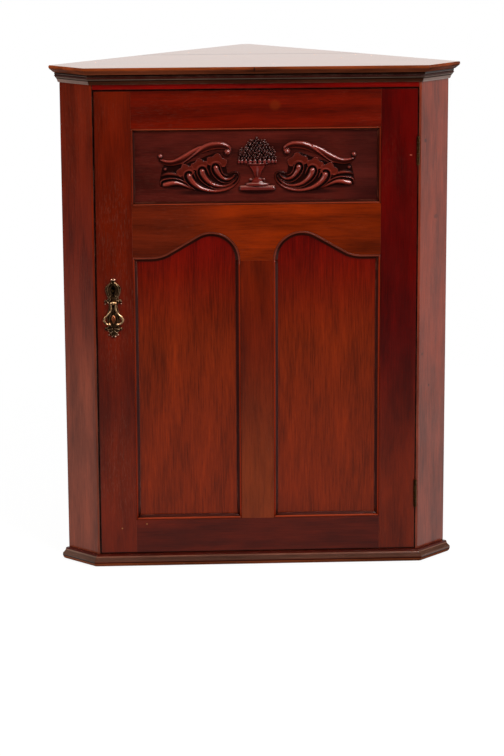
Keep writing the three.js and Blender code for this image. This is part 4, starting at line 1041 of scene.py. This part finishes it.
# %% Brass finish
def brass_finish(name, bright, brown, grime_and_shade, worn, wear, roughness, reach=5, marks=()):
    material, tree = new_material(name)
    stain = add_noise(tree, add_place(tree), 180.0, 4.0)["Fac"]
    tone = add_mix(tree, add_range(tree, stain, 0.35, 0.65), ink(*brown), ink(*bright))
    age_and_shade = add_age_and_shade(tree, add_marks(tree, tone, marks), worn, grime_and_shade, wear, 0.95, reach)
    dull = add_maths(tree, "ADD", add_range(tree, stain, 0.3, 0.7, roughness, roughness + 0.12),
                     add_maths(tree, "MULTIPLY", age_and_shade["Grime and shade"], 0.25))
    bump = add_node(tree, "ShaderNodeBump", {"Strength": 0.2, "Distance": 0.08 * mm, "Height": stain})
    shader = add_node(tree, "ShaderNodeBsdfPrincipled", {
        "Base Color": age_and_shade["Color"], "Metallic": 1.0, "Roughness": dull, "Normal": bump.outputs[0]})
    add_node(tree, "ShaderNodeOutputMaterial", {"Surface": shader.outputs[0]})
    return material


# %% Kinds of brass
low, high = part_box("handle_post")
pivot = Vector(((low.x + high.x) / 2, door_face - 8 * mm, high.z - 3.2 * mm))
plate_depth = 2.2 * mm
keyhole = Vector((pivot.x, door_face - plate_depth, pivot.z + 22.5 * mm))

rubbed_brass = brass_finish(
    "rubbed cast brass", (220, 178, 132), (184, 140, 100), (44, 26, 16), (240, 208, 170), 0.5, 0.24, reach=3)
# The boss below the keyhole gets a painted orange light.
rim_brass = brass_finish(
    "worn rims of cast brass", (138, 106, 76), (88, 62, 42), (10, 6, 4), (220, 180, 150), 0.8, 0.3, reach=3,
    marks=[(beside(keyhole, 0, -50.5), (5, 9, 9), (214, 118, 74), 0.95),
           (beside(keyhole, 0, -47), (1.9, 9, 1.9), (16, 6, 4), 1.0)])
# The dark patch round the keyhole is painted shade, which makes the keyhole look taller than its cut.
black_brass = brass_finish(
    "blackened cast brass", (84, 60, 40), (48, 32, 20), (8, 5, 3), (170, 130, 100), 0.6, 0.34,
    marks=[(beside(keyhole, 0, -2), (5, 9, 11), (7, 4, 3), 1.0)])
knob_brass = brass_finish(
    "bright knobs of cast brass", (226, 176, 150), (186, 134, 108), (30, 16, 10), (240, 206, 180), 0.5, 0.26,
    reach=3)
hinge_brass = brass_finish(
    "dark hinge brass", (84, 58, 32), (56, 36, 20), (14, 9, 6), (120, 90, 56), 0.4, 0.4)
sheet_brass = brass_finish(
    "dull sheet brass", (176, 140, 86), (128, 98, 54), (40, 28, 14), (200, 168, 112), 0.5, 0.36)
print("brass: the handle turns at a height of", round(pivot.z, 4), "m")

# %% Handle
# An arm: shares of the drop across and down from the pivot, and the radius there
arm = [(0.1, 0, 1.4), (0.1, 0.13, 1.4), (0.115, 0.3, 1.5), (0.2, 0.47, 1.75), (0.35, 0.61, 2.05),
       (0.405, 0.74, 2.15), (0.35, 0.87, 2.05), (0.26, 0.935, 1.7), (0.18, 0.93, 1.6)]
drop = (pivot.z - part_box("drop_handle")[0].z) / mm - 1.7
eye_radius, tip_radius = 2.2, 2.6
pin_outline = [(0, -4.0), (1.3, -4.0), (1.3, 4.0), (0, 4.0)]

shape = bmesh.new()
for side in (-1, 1):
    rows = [(side * across * drop, -down * drop, radius) for across, down, radius in arm]
    front_bar(shape, pivot, rows, steps=6)
    for (across, up, _), radius in ((rows[0], eye_radius), (rows[-1], tip_radius)):
        ball(shape, beside(pivot, across, up), (radius, radius, radius))
turned(shape, pin_outline, pivot, axis=(1, 0, 0), sides=20)
one_skin(shape, voxel=0.24, smoothing=3)
add_piece("drop_handle_cast", shape, rubbed_brass, stands_for=["drop_handle"], sharp=180)

# %% Post that carries the handle
shape = merged_copy("handle_post")
ease(shape, 0.35, narrowest=0.2)
add_piece("handle_post_cast", shape, rubbed_brass, stands_for=["handle_post"], sharp=60)

# %% [markdown]
# ## Keyhole plate
# The plate is a thin casting with a raised border. Its outline is already in the solid, so it is read
# from there: cutting the merged solid with a plane half-way through its thickness leaves the outline and
# the keyhole as loops of edges, and a fine bar along the longest loop, the outline, makes the border.

# %% Loops of a solid at a depth
def cut_across(shape, place):
    """Cuts a shape with a plane that faces Y at a place on it, and returns the new edges."""
    everything = shape.verts[:] + shape.edges[:] + shape.faces[:]
    cut = bmesh.ops.bisect_plane(shape, geom=everything, dist=0.1 * same_place, plane_co=(0, place, 0),
                                 plane_no=(0, 1, 0))["geom_cut"]
    return of_kind(cut, bmesh.types.BMEdge)


def section_loops(node, depth):
    """The outlines of a solid at a depth, as lists of points."""
    shape = merged_copy(node)
    edges = cut_across(shape, depth)
    loops = []
    while edges:
        loop = list(edges.pop().verts)
        following = True
        while following:
            following = next((edge for edge in loop[-1].link_edges if edge in edges), None)
            if following:
                edges.remove(following)
                loop.append(following.other_vert(loop[-1]))
        loops.append([vert.co.copy() for vert in loop[:-1]])
    shape.free()
    return loops


# %% Keyhole plate
shape = merged_copy("escutcheon_plate")
ease(shape, 0.3, narrowest=0.2)
add_piece("escutcheon_plate_cast", shape, black_brass, stands_for=["escutcheon_plate"], sharp=50)

# %% Rims of the plate
boss_rows = [(0, -44, 1.2), (0, -46, 3.2), (0, -49, 3.9), (0, -52, 3.1), (0, -55, 1.8), (0, -58.5, 0.7)]
# The ribs of the right half of the plate
plate_ribs = [
    [(1.8, 10.5, 0.9), (6.5, 6.5, 1.1), (9.3, 0, 1.2), (8.2, -7, 1.1), (5.2, -12.5, 1.0), (2.6, -10.5, 0.9)],
    [(7.5, -11.5, 1.0), (4.6, -17.5, 1.1), (8, -20.5, 1.0), (12.6, -21, 1.0)],
    [(3.2, -41, 0.7), (6.6, -49, 0.9), (6.9, -56, 0.9), (3.6, -63.5, 0.8)],
    [(1.5, -66.5, 0.9), (6.5, -67.5, 1.2), (10.6, -67.8, 1.0)],
    [(1.6, -70.5, 0.8), (4.6, -73.6, 0.8), (7, -76.6, 0.8)]]
shape = bmesh.new()
loops = sorted(section_loops("escutcheon_plate", door_face - plate_depth / 2), key=len)
print("plate: loops of", [len(loop) for loop in loops], "points")
border = [((point.x - keyhole.x) / mm, (point.z - keyhole.z) / mm, 0.75) for point in loops[-1][::2]]
front_bar(shape, keyhole, border + border[:1], steps=2, sides=8, out=-0.1)
front_bar(shape, keyhole, boss_rows, out=0.2, height=0.7, ends=True)
for side in (-1, 1):
    for rows in plate_ribs:
        front_bar(shape, keyhole, on_side(rows, side), sides=8, out=0.1)
one_skin(shape, voxel=0.26)
add_piece("escutcheon_rims_cast", shape, rim_brass, body="door", sharp=180)

# %% Knobs and pins of the plate
pin_section = [(0, 1.3), (0.7, 1.15), (1.25, 0.7), (1.5, 0), (0.8, 0), (0.8, -2), (0, -2)]  # radius, height
knobs = [(2.3, 15.2, 2.1), (13, -24.6, 1.1), (7.4, -77, 1.3), (2.6, -80, 1.2)]  # across, up, radius
pins = [(13.2, -20.4), (11.4, -67.6)]  # across, up
shape = bmesh.new()
for side in (-1, 1):
    for across, up, radius in knobs:
        ball(shape, beside(keyhole, side * across, up, -0.6), (radius, radius * 1.1, radius), detail=8)
    for across, up in pins:
        turned(shape, pin_section, beside(keyhole, side * across, up), sides=20)
add_piece("escutcheon_knobs", shape, knob_brass, body="door", sharp=60)

# %% [markdown]
# ## Hinges, lock, screws and nails
# These are plain brass with eased edges. The screws are slotted and countersunk: a flat head whose slot
# is a narrow strip of its face pushed down. They fill their holes flush, so only their faces show when
# the door stands open. The plate is held by small round pins, and the pine boards at the back by cut
# nails with square heads.

# %% Hinges and lock
for node in sorted(frame["nodes"]):
    if node.startswith(("hinge_frame", "hinge_door", "hinge_pin", "lock_case", "lock_bolt")):
        arris, brass = (0.18, hinge_brass) if node.startswith("hinge") else (0.4, sheet_brass)
        shape = merged_copy(node)
        ease(shape, arris, narrowest=0.2)
        add_piece(f"{node}_worked", shape, brass, stands_for=[node], sharp=50, flat=True)


slot_half, head_out, slot_depth = 0.16, 0.35 * mm, 0.3 * mm


def screw(shape, centre, facing, radius, turn):
    """A slotted head, sunk flush at the centre and square to the direction that it faces."""
    head = bmesh.new()
    bmesh.ops.create_circle(head, cap_ends=True, segments=20, radius=radius * mm)
    for side in (-1, 1):
        cut_across(head, side * slot_half * radius * mm)
    tops = push_out(head, head.faces[:], (0, 0, head_out))
    slot = min(tops, key=lambda face: abs(face.calc_center_median().y))
    push_out(head, [slot], (0, 0, -slot_depth))
    bmesh.ops.recalc_face_normals(head, faces=head.faces)
    absorb(shape, head, pointed(facing, centre) @ Matrix.Rotation(turn, 4, "Z"))


# %% Screws
leaf_screws = [(-15, 9.5), (0, 13.5), (15, 9.5)]  # up from the middle, back from the door's face
leaf_screw_radius, lock_screw_radius, lock_inset = 2.3, 2.4, 5.5 * mm
luck = random.Random("screws")
for place in ("lower", "upper"):
    for owner, facing in (("frame", -1), ("door", 1)):
        leaf = f"hinge_{owner}_leaf_{place}"
        low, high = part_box(leaf)
        middle = Vector((low.x if owner == "frame" else high.x, door_face, (low.z + high.z) / 2))
        shape = bmesh.new()
        for up, back in leaf_screws:
            screw(shape, beside(middle, 0, up, -back), (facing, 0, 0), leaf_screw_radius, luck.uniform(0, 3))
        add_piece(f"hinge_{owner}_screws_{place}", shape, sheet_brass, body=body_of[leaf],
                  sharp=35)
low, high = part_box("lock_case")
shape = bmesh.new()
for x in (low.x + lock_inset, high.x - lock_inset):
    for z in (low.z + lock_inset, high.z - lock_inset):
        screw(shape, Vector((x, high.y, z)), (0, 1, 0), lock_screw_radius, luck.uniform(0, 3))
add_piece("lock_screws", shape, sheet_brass, body="door", sharp=35)

# %% Inside boards
# Bare pine, which shows from behind and when the door is open.
pine = dict(tone=(158, 118, 76), contrast=0.16, pores=0.2, clouds=0.5, lines=1.3, flame=0.25, flecks=0.1,
            wear=0.25, worn=(190, 152, 108), dirt_and_shade=0.6, grime_and_shade=(46, 30, 18), coat=0.0, gloss=0.7)
for node in sorted(frame["nodes"]):
    if node.startswith("backboard"):
        add_board(node, wood_finish(f"{node} wood", upright_grain, cut=45, **pine), 0.9)
    elif node.startswith("shelf_bearer"):
        along = slant["left" if node.endswith("left") else "right"]
        add_board(node, wood_finish(f"{node} wood", along, **pine), 0.4)
    elif node.startswith("shelf"):
        add_board(node, wood_finish(f"{node} wood", level, **pine), 0.6)

# %% Nails
# Two nails through each end of a back board, into the top and the bottom board.
def reach_of(node, axis):
    reach = [vert.co.dot(axis) for vert in frame["nodes"][node].data.vertices]
    return min(reach), max(reach)


iron = brass_finish("rusty nail heads", (92, 60, 44), (54, 36, 28), (16, 10, 8), (120, 92, 76), 0.4, 0.6)
nail_head, nail_arris = (3.2, 2.6, 0.8), 0.25
from_bottom, from_top = 9 * mm, 8 * mm
luck = random.Random("nails")
shape = bmesh.new()
for node in sorted(n for n in frame["nodes"] if n.startswith("backboard")):
    side = -1 if sum(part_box(node), Vector()).x < 0 else 1
    outward, along = Vector((side, 1, 0)).normalized(), Vector((-side, 1, 0)).normalized()
    near, far = reach_of(node, along)
    low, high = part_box(node)
    for share in (0.25, 0.75):
        for z in (low.z + from_bottom, high.z - from_top):
            spot = (outward * reach_of(node, outward)[1] + along * (near + (far - near) * share)
                    + Vector((0, 0, z)))
            head = bmesh.new()
            size = Matrix.Diagonal((*(measure * mm for measure in nail_head), 1))
            bmesh.ops.create_cube(head, size=1, matrix=size)
            bevel(head, head.edges[:], nail_arris, segments=1)
            absorb(shape, head, pointed(outward, spot) @ Matrix.Rotation(luck.uniform(0, 1.5), 4, "Z"))
add_piece("backboard_nails", shape, iron, body="carcass", sharp=30)
